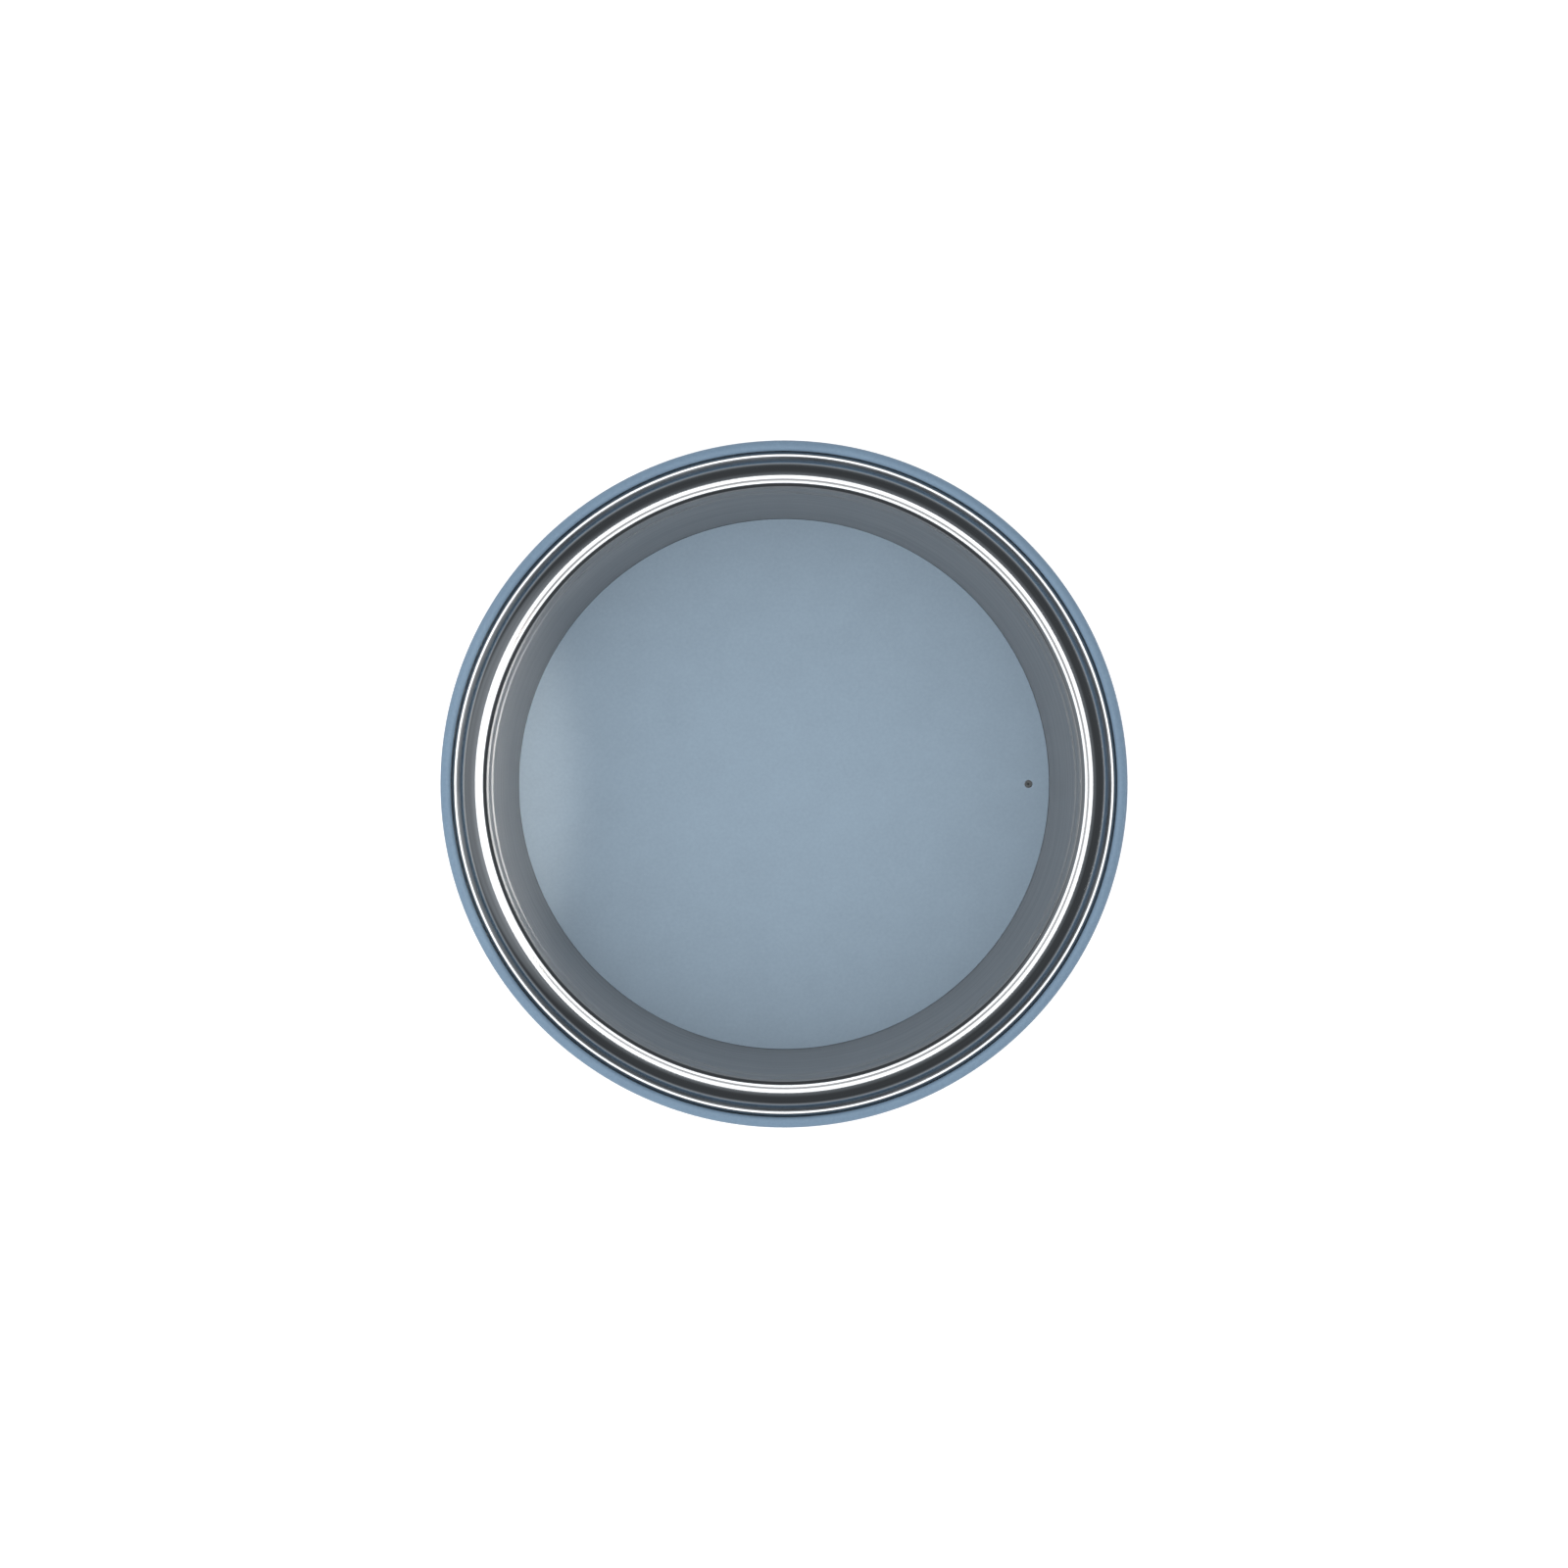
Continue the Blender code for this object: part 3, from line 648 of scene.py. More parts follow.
# Rounded ridges swept up a helix, tapered into the wall at both ends
def threadRidges(name, root, reach, bottom, body, finish):
    v = threadValues
    shape = bmesh.new()
    turn = math.tau * v["turns"]
    half = v["ridgeWidth"] / 2000
    buried = root - math.copysign(v["buried"], reach)
    for start in range(v["starts"]):
        ring = []
        for across, out in v["profile"]:
            point = ((root + reach * out) / 1000, 0.0, bottom / 1000 + across * half)
            ring.append(shape.verts.new(point))
        ring.append(shape.verts.new((buried / 1000, 0.0, bottom / 1000 + half)))
        ring.append(shape.verts.new((buried / 1000, 0.0, bottom / 1000 - half)))
        following = ring[1:] + ring[:1]
        loop = [shape.edges.new(pair) for pair in zip(ring, following)]
        offset = math.tau * start / v["starts"]
        startTurn = Matrix.Rotation(offset, 3, "Z")
        bmesh.ops.rotate(shape, cent=(0, 0, 0), matrix=startTurn, verts=ring)
        before = set(shape.verts) - set(ring)
        bmesh.ops.spin(
            shape,
            geom=ring + loop,
            cent=(0.0, 0.0, 0.0),
            axis=(0.0, 0.0, 1.0),
            dvec=(0.0, 0.0, v["lead"] * v["turns"] / 1000 / v["steps"]),
            angle=turn,
            steps=v["steps"],
            use_merge=False,
        )
        made = [x for x in shape.verts if x not in before]
        for vert in made:
            # An angle past the middle of the bare part lies just before the ridge's start
            angle = (math.atan2(vert.co.y, vert.co.x) - offset) % math.tau
            if angle > (turn + math.tau) / 2:
                angle -= math.tau
            share = max(0.0, min(1.0, angle / turn))
            ease = min(1.0, min(share, 1 - share) / v["taperShare"])
            ease = ease * ease * (3 - 2 * ease)
            distance = vert.co.xy.length * 1000
            wanted = buried + (distance - buried) * ease
            vert.co.x *= wanted / distance
            vert.co.y *= wanted / distance
        ends = [e for e in shape.edges if e.is_boundary and e.verts[0] in made]
        bmesh.ops.holes_fill(shape, edges=ends, sides=0)
    bmesh.ops.remove_doubles(shape, verts=shape.verts[:], dist=v["mergeUnder"] / 1000)
    bmesh.ops.recalc_face_normals(shape, faces=shape.faces[:])
    finishPiece(name, shape, body, finish)


linerValues = {
    "mouth": 42.6,
    "neck": 45.2,
    "wall": 0.6,
    "corner": 9.0,
    "lipRound": 0.9,
    "lipEdge": 0.25,
    "lipUnder": 0.3,
    "steps": 160,
}


# Food vessel, its lip turned out over the neck
def foodLiner():
    v = linerValues
    top = topOf("inner_liner")
    floor = underOf("inner_liner") + v["wall"]
    moves = [
        (0.0, floor),
        (v["mouth"], floor, v["corner"]),
        (v["mouth"], top, v["lipRound"]),
        (v["neck"], top, v["lipEdge"]),
        (v["neck"], top - v["wall"]),
        (v["mouth"] + v["wall"], top - v["wall"], v["lipUnder"]),
        (v["mouth"] + v["wall"], floor - v["wall"], v["corner"] + v["wall"]),
        (0.0, floor - v["wall"]),
    ]
    turnedPiece("food_liner", moves, v["steps"], "pot", brushedSteel, ["inner_liner"])


capValues = {
    "round": 3.2,
    "rim": 2.2,
    "recess": 39.5,
    "floor": 1.8,
    "rise": 0.4,
    "edge": 0.25,
    "steps": 192,
}


# Moulded cap over the base, recessed for the pad
def baseCap():
    v = capValues
    top = topOf("base_cap")
    under = underOf("base_cap")
    recessTop = top - v["rise"] - v["floor"]
    moves = [
        (0.0, top - v["rise"]),
        (bodyRadius - v["rim"], top - v["rise"]),
        (bodyRadius - v["rim"], top),
        (bodyRadius, top, v["edge"]),
        (bodyRadius, under, v["round"]),
        (v["recess"], under, v["edge"]),
        (v["recess"], recessTop),
        (0.0, recessTop),
    ]
    turnedPiece("base_cap_moulding", moves, v["steps"], "pot", bluePolypropylene, ["base_cap"])


padValues = {
    "grooves": 2,
    "grooveWidth": 2.0,
    "grooveDepth": 0.6,
    "grooveRound": 0.2,
    "edge": 0.3,
    "steps": 128,
}


# Non-slip pad with ring grooves in the face that it stands on
def basePad():
    v = padValues
    top = topOf("base_pad")
    radius = radiusOf("base_pad")
    moves = [(0.0, top), (radius, top, v["edge"]), (radius, 0.0, v["edge"])]
    pitch = radius / (v["grooves"] + 1)
    for ring in range(v["grooves"], 0, -1):
        outer = ring * pitch + v["grooveWidth"] / 2
        inner = outer - v["grooveWidth"]
        moves += [
            (outer, 0.0, v["grooveRound"]),
            (outer, v["grooveDepth"], v["grooveRound"]),
            (inner, v["grooveDepth"], v["grooveRound"]),
            (inner, 0.0, v["grooveRound"]),
        ]
    moves.append((0.0, 0.0))
    turnedPiece("base_pad_ribbed", moves, v["steps"], "pot", greySilicone, ["base_pad"])


plugValues = {
    "radius": 41.9,
    "wall": 3.2,
    "floor": 1.6,
    "round": 2.0,
    "insideRound": 0.8,
    "flange": 1.4,
    "flangeRoot": 0.2,
    "grooveFromEnd": 4.0,
    "grooveHeight": 4.4,
    "grooveDepth": 1.6,
    "edge": 0.25,
    "steps": 160,
}


# Moulded plug that hangs on the lip, with the gasket's groove
def plugCup():
    v = plugValues
    under = underOf("stopper_cup")
    top = topOf("stopper_cup")
    flange = radiusOf("stopper_cup")
    grooveUnder = under + v["grooveFromEnd"]
    grooveTop = grooveUnder + v["grooveHeight"]
    inside = v["radius"] - v["wall"]
    groove = v["radius"] - v["grooveDepth"]
    moves = [
        (0.0, under + v["floor"]),
        (inside, under + v["floor"], v["insideRound"]),
        (inside, top, v["edge"]),
        (flange, top, v["edge"]),
        (flange, top - v["flange"], v["edge"]),
        (v["radius"], top - v["flange"], v["flangeRoot"]),
        (v["radius"], grooveTop, v["edge"]),
        (groove, grooveTop),
        (groove, grooveUnder),
        (v["radius"], grooveUnder, v["edge"]),
        (v["radius"], under, v["round"]),
        (0.0, under),
    ]
    cup = turnedPiece("plug_cup", moves, v["steps"], "stopper", greyPolypropylene, ["stopper_cup"])
    place = placeOf("valve_seat")
    tubeHole = valveValues["tube"] + seatGap
    cutHole(cup, place, tubeHole, under - drillPast, under + v["floor"] + drillPast)


coverValues = {
    "wall": 1.8,
    "pocket": 17.0,
    "pocketDepth": 8.0,
    "pocketRound": 2.0,
    "lipRound": 0.8,
    "underRound": 0.5,
    "edge": 0.3,
    "drillDepth": 5.0,
    "webWidth": 6.0,
    "webBelowTop": 0.8,
    "webRound": 1.2,
    "webRoundSegments": 5,
    "webRoot": 1.0,
    "webPanels": 24,
    "waist": 0.9,
    "steps": 160,
}
valveValues = {
    "bore": 1.5,
    "tube": 2.7,
    "flange": 0.7,
    "edge": 0.15,
    "head": 0.7,
    "headRound": 0.2,
    "headEdge": 0.1,
    "dimpleDepth": 0.2,
    "dimpleShare": 0.35,
    "dimpleRimShare": 0.5,
    "stem": 6.0,
    "stemTip": 0.3,
    "steps": 64,
}


# Cover plate with its finger pocket
def plugCover():
    v = coverValues
    top = topOf("valve_seat")
    radius = radiusOf("stopper_cover")
    floor = top - v["pocketDepth"]
    outside = v["pocket"] + v["wall"]
    moves = [
        (0.0, floor),
        (v["pocket"], floor, v["pocketRound"]),
        (v["pocket"], top, v["lipRound"]),
        (radius, top, v["edge"]),
        (radius, top - v["wall"], v["edge"]),
        (outside, top - v["wall"], v["underRound"]),
        (outside, floor - v["wall"], v["pocketRound"]),
        (0.0, floor - v["wall"]),
    ]
    cover = turnedPiece(
        "plug_cover", moves, v["steps"], "stopper", greyPolypropylene, ["stopper_cover"]
    )
    place = placeOf("valve_seat")
    seat = radiusOf("valve_seat") + seatGap
    seatUnder = top - valveValues["flange"] - seatGap
    tubeHole = valveValues["tube"] + seatGap
    cutHole(cover, place, tubeHole, top - v["drillDepth"], top + drillPast)
    cutHole(cover, place, seat, seatUnder, top + drillPast)


# The web between the fingers, waisted a little in the middle for grip
def gripWeb():
    v = coverValues
    top = topOf("valve_seat")
    high = top - v["webBelowTop"]
    low = top - v["pocketDepth"] - v["webRoot"]
    length = 2 * (v["pocket"] + v["webRoot"])
    shape = bmesh.new()
    bmesh.ops.create_grid(
        shape,
        x_segments=v["webPanels"],
        y_segments=1,
        size=0.5,
        matrix=Matrix.Translation((0.0, 0.0, low / 1000))
        @ Matrix.Diagonal((length / 1000, v["webWidth"] / 1000, 1.0, 1.0)),
    )
    raised = bmesh.ops.extrude_face_region(shape, geom=shape.faces[:])
    upper = [x for x in raised["geom"] if isinstance(x, bmesh.types.BMVert)]
    bmesh.ops.translate(shape, verts=upper, vec=(0.0, 0.0, (high - low) / 1000))
    bmesh.ops.recalc_face_normals(shape, faces=shape.faces[:])
    for vert in shape.verts:
        along = vert.co.x * 1000 / v["pocket"]
        waist = v["waist"] / 1000 * max(0.0, 1 - along * along)
        vert.co.y -= math.copysign(waist, vert.co.y)
    # Both long upper edges: at the top, and with both ends on one side of the middle
    edges = [
        e
        for e in shape.edges
        if min(e.verts[0].co.z, e.verts[1].co.z) > (high + low) / 2000
        and e.verts[0].co.y * e.verts[1].co.y > 0
    ]
    bmesh.ops.bevel(
        shape,
        geom=edges,
        offset=v["webRound"] / 1000,
        offset_type="OFFSET",
        segments=v["webRoundSegments"],
        profile=0.5,
        affect="EDGES",
        material=-1,
    )
    finishPiece("grip_web", shape, "stopper", greyPolypropylene)


gasketValues = {
    "back": 40.6,
    "root": 41.6,
    "seal": 42.3,
    "tip": 0.25,
    "valley": 0.25,
    "edge": 0.2,
    "steps": 160,
}


# Two soft lips that press on the mouth's wall
def plugGasket():
    v = gasketValues
    top = topOf("stopper_gasket")
    under = underOf("stopper_gasket")
    quarter = (top - under) / 4
    moves = [
        (v["root"], top, v["edge"]),
        (v["seal"], top - quarter, v["tip"]),
        (v["root"], top - 2 * quarter, v["valley"]),
        (v["seal"], top - 3 * quarter, v["tip"]),
        (v["root"], under, v["edge"]),
        (v["back"], under),
        (v["back"], top),
    ]
    turnedPiece("plug_gasket", moves, v["steps"], "stopper", greySilicone, ["stopper_gasket"])


# Bush through the plug, and the button that closes it
def valvePieces():
    v = valveValues
    place = placeOf("valve_seat")
    flangeRadius = radiusOf("valve_seat")
    top = topOf("valve_seat")
    under = underOf("valve_seat")
    bush = [
        (flangeRadius, top, v["edge"]),
        (flangeRadius, top - v["flange"]),
        (v["tube"], top - v["flange"]),
        (v["tube"], under, v["edge"]),
        (v["bore"], under, v["edge"]),
        (v["bore"], top, v["edge"]),
    ]
    turnedPiece(
        "valve_bush", bush, v["steps"], "stopper", greyPolypropylene, ["valve_seat"], place
    )
    head = radiusOf("valve_poppet")
    headTop = topOf("valve_poppet")
    headUnder = headTop - v["head"]
    stem = v["bore"] - seatGap
    dimple = headTop - v["dimpleDepth"]
    poppet = [
        (0.0, dimple),
        (head * v["dimpleShare"], dimple, v["headRound"]),
        (head * v["dimpleRimShare"], headTop, v["edge"]),
        (head - v["head"], headTop, v["headRound"]),
        (head, headUnder + v["head"] / 2, v["headRound"]),
        (head, headUnder, v["headEdge"]),
        (stem, headUnder, v["edge"]),
        (stem, headUnder - v["stem"], v["stemTip"]),
        (0.0, headUnder - v["stem"]),
    ]
    turnedPiece("valve_button", poppet, v["steps"], "valve", greySilicone, ["valve_poppet"], place)


washerValues = {
    "width": 6.5,
    "chamfer": 0.35,
    "groove": 1.2,
    "grooveDepth": 0.35,
    "grooveEdge": 0.1,
    "grooveRound": 0.2,
    "steps": 160,
}


# Flat ring between lid and stopper, with one groove under it
def lidWasher():
    v = washerValues
    top = topOf("lid_washer")
    under = underOf("lid_washer")
    outer = radiusOf("lid_washer")
    inner = outer - v["width"]
    middle = (outer + inner) / 2
    moves = [
        (outer, top, v["chamfer"]),
        (outer, under, v["chamfer"]),
        (middle + v["groove"], under, v["grooveEdge"]),
        (middle + v["groove"] / 2, under + v["grooveDepth"], v["grooveRound"]),
        (middle - v["groove"] / 2, under + v["grooveDepth"], v["grooveRound"]),
        (middle - v["groove"], under, v["grooveEdge"]),
        (inner, under, v["chamfer"]),
        (inner, top, v["chamfer"]),
    ]
    turnedPiece("washer_ring", moves, v["steps"], "washer", greySilicone, ["lid_washer"])


shellValues = {
    "edgeWidth": 1.53,
    "edgeRound": 1.0,
    "innerRound": 0.5,
    "turnDown": 2.3,
    "wall": 0.6,
    "insideRound": 0.55,
    "insideEdge": 0.1,
    "hem": 1.3,
    "hemRound": 0.7,
    "hemEdge": 0.15,
    "steps": 240,
}


# Lid's drawn skirt: edge rolled over at the top, hem turned in at the bottom
def lidShell():
    v = shellValues
    top = topOf("lid_shell")
    under = underOf("lid_shell")
    edge = bodyRadius - v["edgeWidth"]
    moves = [
        (edge, top - v["turnDown"]),
        (edge, top, v["innerRound"]),
        (bodyRadius, top, v["edgeRound"]),
        (bodyRadius, under, v["hemRound"]),
        (bodyRadius - v["hem"], under, v["hemEdge"]),
        (bodyRadius - v["hem"], under + v["wall"], v["hemEdge"]),
        (bodyRadius - v["wall"], under + v["wall"], v["insideEdge"]),
        (bodyRadius - v["wall"], top - v["wall"], v["insideRound"]),
        (edge + v["wall"], top - v["wall"], v["insideEdge"]),
        (edge + v["wall"], top - v["turnDown"]),
    ]
    turnedPiece("lid_skirt", moves, v["steps"], "lid", bluePowderCoat, ["lid_shell"])


coreValues = {"inside": 46.9, "ceiling": 1.8, "edge": 0.3, "root": 0.8, "steps": 160}


# Moulded inner lid that carries the thread
def lidCore():
    v = coreValues
    outer = radiusOf("lid_core")
    top = topOf("lid_core")
    under = underOf("lid_core")
    ceilingTop = underOf("lid_trim_pan") - seatGap
    ceilingUnder = ceilingTop - v["ceiling"]
    moves = [
        (0.0, ceilingTop),
        (v["inside"], ceilingTop, v["root"]),
        (v["inside"], top, v["edge"]),
        (outer, top, v["edge"]),
        (outer, under, v["edge"]),
        (v["inside"], under, v["edge"]),
        (v["inside"], ceilingUnder, v["root"]),
        (0.0, ceilingUnder),
    ]
    core = turnedPiece("inner_lid", moves, v["steps"], "lid", greyPolypropylene, ["lid_core"])
    place = placeOf("vent_bush")
    ventHole = radiusOf("vent_bush") + seatGap
    cutHole(core, place, ventHole, ceilingUnder - drillPast, ceilingTop + drillPast)


trimValues = {
    "wall": 0.5,
    "flangeWidth": 0.23,
    "footRound": 1.2,
    "crestRound": 3.55,
    "ogee": 47.6,
    "browStart": 8.0,
    "browRound": 1.2,
    "landSlope": 43.0,
    "upperLand": 0.26,
    "riserSlope": 68.0,
    "riserWidth": 0.4,
    "lowerLand": 0.26,
    "landRound": 0.1,
    "riserRound": 0.08,
    "wellLean": 4.08,
    "wellCorner": 0.4,
    "belowEdge": 0.9,
    "edgeRound": 0.52,
    "edgeProud": 0.29,
    "skirtEdge": 0.1,
    "browSegments": 10,
    "crestSegments": 30,
    "footSegments": 16,
    "landFrom": 0.55,
    "footFrom": 0.5,
    "footInside": 0.1,
    "footOutside": 0.25,
    "steps": 256,
}


# Polished ring and well in one pressing, with two fine lands pressed in below the crest
def trimPan():
    v = trimValues
    outer = radiusOf("lid_trim_pan")
    crest = topOf("lid_trim_pan")
    under = underOf("lid_trim_pan")
    skirtTop = topOf("lid_shell")
    face = skirtTop - v["belowEdge"]
    floor = under + v["wall"]
    ogee = math.radians(v["ogee"])
    browStart = math.radians(v["browStart"])
    landSlope = math.radians(v["landSlope"])
    footStart = outer - v["flangeWidth"]
    crestRadius = footStart - (v["footRound"] + v["crestRound"]) * math.sin(ogee)
    crestCentre = crest - v["crestRound"]
    between = v["crestRound"] - v["browRound"]
    browCentreRadius = crestRadius - between * math.sin(browStart)
    browCentre = crestCentre + between * math.cos(browStart)
    browRadius = browCentreRadius - v["browRound"] * math.sin(landSlope)
    brow = browCentre + v["browRound"] * math.cos(landSlope)
    riserTopRadius = browRadius - v["upperLand"]
    riserTop = brow - v["upperLand"] * math.tan(landSlope)
    riserFootRadius = riserTopRadius - v["riserWidth"]
    riserFoot = riserTop - v["riserWidth"] * math.tan(math.radians(v["riserSlope"]))
    wellTopRadius = riserFootRadius - v["lowerLand"]
    wellTop = riserFoot - v["lowerLand"] * math.tan(landSlope)
    wellRadius = wellTopRadius - v["wellLean"]
    wallAcross = v["wall"] / math.cos(math.atan2(v["wellLean"], wellTop - floor))
    trimUnder = skirtTop - shellValues["turnDown"]
    reach = v["crestRound"] * math.sin(browStart) / 2
    edge = outer + v["edgeProud"]

    def wellAt(height):
        return wellRadius + v["wellLean"] * (height - floor) / (wellTop - floor)

    moves = [
        (0.0, floor),
        (wellRadius, floor, v["wellCorner"]),
        (wellTopRadius, wellTop, v["landRound"]),
        (riserFootRadius, riserFoot, v["riserRound"]),
        (riserTopRadius, riserTop, v["landRound"]),
        (browRadius, brow),
        (browCentreRadius, browCentre, v["landSlope"] - v["browStart"], v["browSegments"]),
        (crestRadius, crestCentre, v["browStart"] + v["ogee"], v["crestSegments"]),
        (footStart, face + v["footRound"], -v["ogee"], v["footSegments"]),
        (edge, face, v["edgeRound"]),
        (edge, trimUnder, v["skirtEdge"]),
        (edge - v["wall"], trimUnder, v["skirtEdge"]),
        (edge - v["wall"], face - v["wall"]),
        (crestRadius + v["crestRound"] * math.sin(ogee), face - v["wall"]),
        (crestRadius + reach, crest - v["wall"]),
        (crestRadius - reach, crest - v["wall"]),
        (wellAt(wellTop - v["wall"]) + wallAcross, wellTop - v["wall"]),
        (wellAt(under) + wallAcross, under),
        (0.0, under),
    ]
    pan = turnedPiece(
        "steel_rim_and_well", moves, v["steps"], "lid", polishedSteel, ["lid_trim_pan"]
    )
    ventHole = radiusOf("vent_bush") + seatGap
    cutHole(pan, placeOf("vent_bush"), ventHole, under - drillPast, floor + drillPast)
    # The wall and riser are satin; the lands and the foot of the crest are brushed
    pan.data.materials.append(satinSteel)
    pan.data.materials.append(brushedSteel)
    footTop = footStart - v["footRound"] * math.sin(ogee)
    footSpan = (footTop + v["footInside"], footStart - v["footOutside"])
    for face in pan.data.polygons:
        across = face.center.xy.length * 1000
        inward = face.normal.xy.dot(face.center.xy) < 0
        if inward and across < browRadius and face.center.z * 1000 > floor:
            onLand = face.normal.z > v["landFrom"] and across > wellTopRadius - v["landRound"]
            face.material_index = 2 if onLand else 1
        elif footSpan[0] < across < footSpan[1] and face.normal.z > v["footFrom"]:
            face.material_index = 2


discValues = {"edge": 0.04, "vent": 0.58, "reach": 0.27, "lean": 0.31, "steps": 240}


# Blue disc on the well's floor, with the vent hole
def blueDisc():
    v = discValues
    top = topOf("lid_inlay")
    under = underOf("lid_inlay")
    radius = radiusOf("lid_inlay") + v["reach"]
    moves = [
        (0.0, top),
        (radius, top, v["edge"]),
        (radius - v["lean"], under),
        (0.0, under),
    ]
    disc = turnedPiece("blue_disc", moves, v["steps"], "lid", blueDiscCoat, ["lid_inlay"])
    cutHole(disc, placeOf("vent_bush"), v["vent"], under - drillPast, top + drillPast)


ventValues = {
    "pinhole": 0.15,
    "lipDepth": 0.6,
    "lipWall": 0.3,
    "edge": 0.1,
    "mouthEdge": 0.05,
    "steps": 48,
}


# Sleeve under the vent hole, narrowed to a pinhole by a thin lip
def ventSleeve():
    v = ventValues
    outer = radiusOf("vent_bush")
    top = topOf("vent_bush")
    under = underOf("vent_bush")
    bore = discValues["vent"]
    lipTop = top - v["lipDepth"]
    moves = [
        (outer, top, v["edge"]),
        (outer, under, v["edge"]),
        (bore, under, v["edge"]),
        (bore, lipTop - v["lipWall"]),
        (v["pinhole"], lipTop - v["lipWall"]),
        (v["pinhole"], lipTop),
        (bore, lipTop),
        (bore, top, v["mouthEdge"]),
    ]
    place = placeOf("vent_bush")
    turnedPiece("vent_sleeve", moves, v["steps"], "lid", greyPolypropylene, ["vent_bush"], place)


bodyShell()
foodLiner()
baseCap()
basePad()
print("pot made")
plugCup()
plugCover()
gripWeb()
plugGasket()
valvePieces()
print("stopper made")
lidWasher()
lidShell()
lidCore()
trimPan()
blueDisc()
ventSleeve()
threadBottom = topOf("inner_liner") - threadValues["belowLip"]
threadRidges(
    "neck_thread",
    neckValues["radius"],
    threadValues["reach"],
    threadBottom,
    "pot",
    brushedSteel,
)
# The lid's ridges stay midway between those of the neck
threadRidges(
    "lid_thread",
    coreValues["inside"],
    -threadValues["reach"],
    threadBottom + threadValues["lead"] / 4,
    "lid",
    greyPolypropylene,
)
print("lid made")

# Hidden pieces keep the frame's own meshes and get their finish
hiddenFinishes = {
    "foil_sleeve": aluminiumFoil,
    "foil_disc": aluminiumFoil,
    "base_pan": brushedSteel,
    "seal_plug": sealingAlloy,
    "getter_clip": brushedSteel,
    "getter_pill": sealingAlloy,
    "stopper_foam": polyurethaneFoam,
    "inlay_bond": acrylicAdhesive,
    "lid_foam": polyurethaneFoam,
}
for node, finish in hiddenFinishes.items():
    nodes[node].data.materials.clear()
    nodes[node].data.materials.append(finish)
print("hidden pieces finished")


# Studio: a pale floor, a broad soft light overhead, a faint pool of light on the disc's left,
# and dim surroundings that the steel mirrors. Lengths are in metres. A span is from where a
# light begins to where it is full, as the share of a direction that points the named way.
white = (1.0, 1.0, 1.0, 1.0)
studioValues = {
    "floorSize": 8.0,
    "floorSegments": 96,
    "floorUnder": 0.0002,
    "floorColour": "#BFC0C1",
    "floorGlow": 0.72,
    "boardFinish": {"Roughness": 0.9, "Specular IOR Level": 0.1},
    "overheadHeight": 1.75,
    "overheadSize": 1.23,
    "overheadPower": 7.2,
    "accentPlace": (-0.0393, 0.0, 0.45),
    "accentSpread": 4.0,
    "accentStretch": 2.7,
    "accentPower": 1.8,
    "accentColour": (1.0, 0.9, 0.79),
    "accentSoftness": 0.003,
    "fill": 0.56,
    "fillLean": 0.9,
    "fillWay": (-0.55, -0.6, 0.58),
    "skyTint": (0.93, 1.0, 1.07, 1.0),
    "stripTint": (1.05, 1.0, 0.94, 1.0),
    "horizonUnder": 0.02,
    "horizonTop": 0.35,
    "horizonGlow": 0.52,
    "darkSky": 0.07,
    "haloSpan": (0.76, 0.93),
    "haloGlow": 0.12,
    "leftWay": (-0.72, 0.0, 0.69),
    "leftSpan": (0.8, 0.95),
    "leftGlow": 0.2,
    "stripFade": 0.04,
    "rightStripSpan": (0.82, 0.985),
    "rightStripTop": 0.11,
    "rightStripGlow": 6.0,
    "leftStripSpan": (-0.88, -0.96),
    "leftStripTop": 0.25,
    "leftStripUnder": 0.14,
    "leftStripGlow": 0.35,
    "scrimAbove": 0.06,
    "scrimRadius": 0.115,
    "scrimSegments": 48,
    "scrimColour": "#1C1C1E",
    "scrimGlow": 0.6,
    "clothFinish": {"Roughness": 0.95, "Specular IOR Level": 0.1},
}


def flatDisc(name, segments, radius, place, finish):
    shape = bmesh.new()
    bmesh.ops.create_circle(shape, cap_ends=True, segments=segments, radius=radius)
    disc = objectFrom(name, shape)
    disc.data.materials.append(finish)
    disc.location = place
    return disc


# Painted board: pale and dull, and it glows only where a camera or a mirror looks at it,
# so that it shows white and still keeps the pot's shadow
def studioFloor():
    v = studioValues
    shaderValues = {
        **v["boardFinish"],
        "Base Color": linear(v["floorColour"]),
        "Emission Color": white,
    }
    made, tree, shader, where = newMaterial("paintedBoard", shaderValues)
    ray = addNode(tree, "ShaderNodeLightPath", {})
    seen = ray.outputs["Is Camera Ray"]
    for kind in ("Is Glossy Ray", "Is Transmission Ray"):
        seen = addNode(
            tree, "ShaderNodeMath", {"operation": "MAXIMUM"}, {0: seen, 1: ray.outputs[kind]}
        ).outputs[0]
    glow = addNode(
        tree, "ShaderNodeMath", {"operation": "MULTIPLY", 1: v["floorGlow"]}, {0: seen}
    )
    tree.links.new(glow.outputs[0], shader.inputs["Emission Strength"])
    place = (0.0, 0.0, -v["floorUnder"])
    floor = flatDisc("studio_floor", v["floorSegments"], v["floorSize"], place, made)


# A lamp that faces straight down, as a new one does, and that the camera doesn't see
def addLamp(name, kind, power, place):
    light = bpy.data.lights.new(name, kind)
    light.energy = power
    lamp = bpy.data.objects.new(name, light)
    lamp.location = place
    lamp.visible_camera = False
    bpy.context.scene.collection.objects.link(lamp)
    return lamp


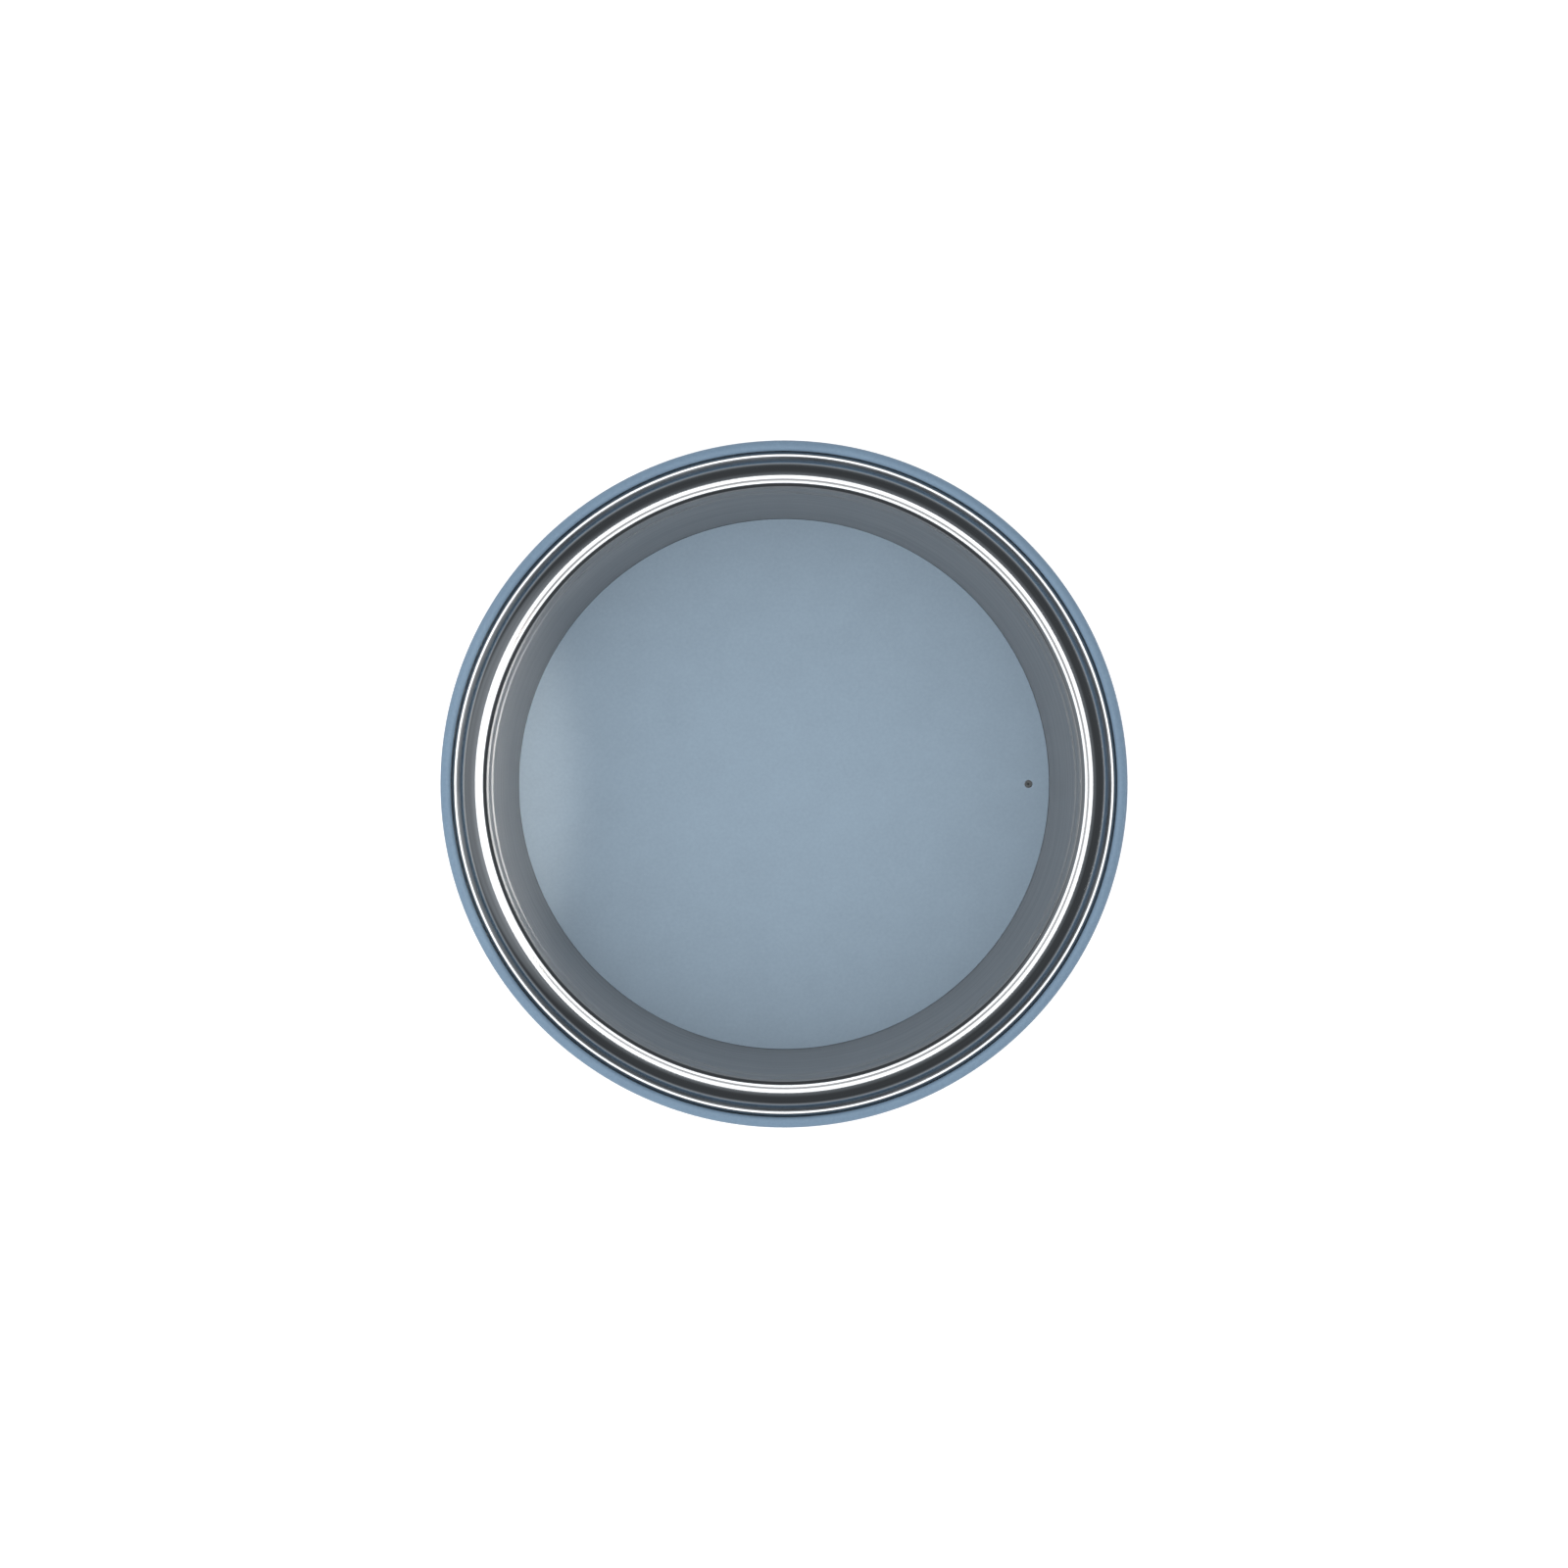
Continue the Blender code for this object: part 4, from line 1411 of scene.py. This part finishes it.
def studioLamps():
    v = studioValues
    overhead = (0.0, 0.0, v["overheadHeight"])
    softbox = addLamp("overhead_softbox", "AREA", v["overheadPower"], overhead).data
    softbox.shape = "DISK"
    softbox.size = v["overheadSize"]
    # A faint oval pool of light on the disc's left edge
    accent = addLamp("accent_spot", "SPOT", v["accentPower"], v["accentPlace"])
    accent.scale.y = v["accentStretch"]
    accent.data.color = v["accentColour"]
    accent.data.spot_size = math.radians(v["accentSpread"])
    accent.data.spot_blend = 1.0
    accent.data.shadow_soft_size = v["accentSoftness"]


def studioWorld():
    v = studioValues
    world = bpy.data.worlds.new("studio")
    bpy.context.scene.world = world
    world.use_nodes = True
    tree = world.node_tree
    tree.nodes.clear()
    way = addNode(tree, "ShaderNodeTexCoord", {}).outputs["Generated"]
    apart = addNode(tree, "ShaderNodeSeparateXYZ", {}, {"Vector": way})
    ray = addNode(tree, "ShaderNodeLightPath", {})
    across = apart.outputs["X"]
    height = apart.outputs["Z"]
    toLeft, toFill = [
        addNode(tree, "ShaderNodeVectorMath", {"operation": "DOT_PRODUCT", 1: toward}, {0: way})
        for toward in (v["leftWay"], v["fillWay"])
    ]
    # Light that only dull surfaces pick up is a little stronger from the lower left
    parts = {
        "dullRay": ray.outputs["Is Diffuse Ray"],
        "mirrorRay": ray.outputs["Is Glossy Ray"],
        "fill": addNode(
            tree,
            "ShaderNodeMath",
            {"operation": "MULTIPLY_ADD", 1: v["fill"] * v["fillLean"], 2: v["fill"]},
            {0: toFill.outputs["Value"]},
        ).outputs[0],
    }
    # A bright horizon, a halo round the overhead light, a dim broad light to the left,
    # and a low strip on each side: what each follows, over which span, and its two levels
    rightTop = v["rightStripTop"]
    leftTop = v["leftStripTop"]
    leftUnder = v["leftStripUnder"]
    fade = v["stripFade"]
    for name, source, start, end, startLevel, endLevel in (
        ("sky", height, v["horizonUnder"], v["horizonTop"], v["horizonGlow"], v["darkSky"]),
        ("halo", height, *v["haloSpan"], 0.0, v["haloGlow"]),
        ("leftLight", toLeft.outputs["Value"], *v["leftSpan"], 0.0, v["leftGlow"]),
        ("rightEnd", across, *v["rightStripSpan"], 0.0, v["rightStripGlow"]),
        ("rightLow", height, rightTop, rightTop - fade, 0.0, 1.0),
        ("leftEnd", across, *v["leftStripSpan"], 0.0, v["leftStripGlow"]),
        ("leftLow", height, leftTop, leftTop - fade, 0.0, 1.0),
        ("leftHigh", height, leftUnder, leftUnder + fade, 0.0, 1.0),
    ):
        parts[name] = addNode(
            tree,
            "ShaderNodeMapRange",
            {
                "interpolation_type": "SMOOTHSTEP",
                "From Min": start,
                "From Max": end,
                "To Min": startLevel,
                "To Max": endLevel,
            },
            {"Value": source},
        ).outputs["Result"]
    for name, how, first, second in (
        ("skyAndHalo", "ADD", "sky", "halo"),
        ("surroundings", "ADD", "skyAndHalo", "leftLight"),
        ("rightStrip", "MULTIPLY", "rightEnd", "rightLow"),
        ("leftBand", "MULTIPLY", "leftLow", "leftHigh"),
        ("leftStrip", "MULTIPLY", "leftEnd", "leftBand"),
        ("bothStrips", "ADD", "rightStrip", "leftStrip"),
        ("strips", "MULTIPLY", "bothStrips", "mirrorRay"),
        ("softFill", "MULTIPLY", "fill", "dullRay"),
    ):
        parts[name] = addNode(
            tree, "ShaderNodeMath", {"operation": how}, {0: parts[first], 1: parts[second]}
        ).outputs[0]
    lit = None
    for name, tint in (
        ("surroundings", v["skyTint"]),
        ("strips", v["stripTint"]),
        ("softFill", white),
    ):
        light = addNode(
            tree, "ShaderNodeBackground", {"Color": tint}, {"Strength": parts[name]}
        ).outputs[0]
        if lit is None:
            lit = light
        else:
            lit = addNode(tree, "ShaderNodeAddShader", {}, {0: lit, 1: light}).outputs[0]
    seen = addNode(tree, "ShaderNodeBackground", {"Color": white, "Strength": 1.0})
    choices = {0: ray.outputs["Is Camera Ray"], 1: lit, 2: seen.outputs[0]}
    either = addNode(tree, "ShaderNodeMixShader", {}, choices)
    addNode(tree, "ShaderNodeOutputWorld", {}, {"Surface": either.outputs[0]})


studioFloor()
studioLamps()
studioWorld()

# Camera straight above on the pot's axis, with a long lens
cameraValues = {
    "lens": 197.4,
    "sensor": 36.0,
    "distance": 1.25,
    "clipStart": 0.05,
    "clipEnd": 20.0,
}
cameraData = bpy.data.cameras.new("camera")
cameraData.lens = cameraValues["lens"]
cameraData.sensor_width = cameraValues["sensor"]
cameraData.clip_start = cameraValues["clipStart"]
cameraData.clip_end = cameraValues["clipEnd"]
camera = bpy.data.objects.new("camera", cameraData)
camera.location = (0.0, 0.0, topOf("lid_shell") / 1000 + cameraValues["distance"])
bpy.context.scene.collection.objects.link(camera)
bpy.context.scene.camera = camera


# Scrim cloth over the softbox's middle, dim and dull: the grey line that the crest mirrors
def cameraScrim():
    v = studioValues
    shaderValues = {
        **v["clothFinish"],
        "Base Color": linear(v["scrimColour"]),
        "Emission Color": white,
        "Emission Strength": v["scrimGlow"],
    }
    made, tree, shader, where = newMaterial("scrimCloth", shaderValues)
    place = (0.0, 0.0, camera.location.z + v["scrimAbove"])
    scrim = flatDisc("camera_scrim", v["scrimSegments"], v["scrimRadius"], place, made)


cameraScrim()
bpy.context.scene.view_settings.view_transform = "Standard"
print("studio set")
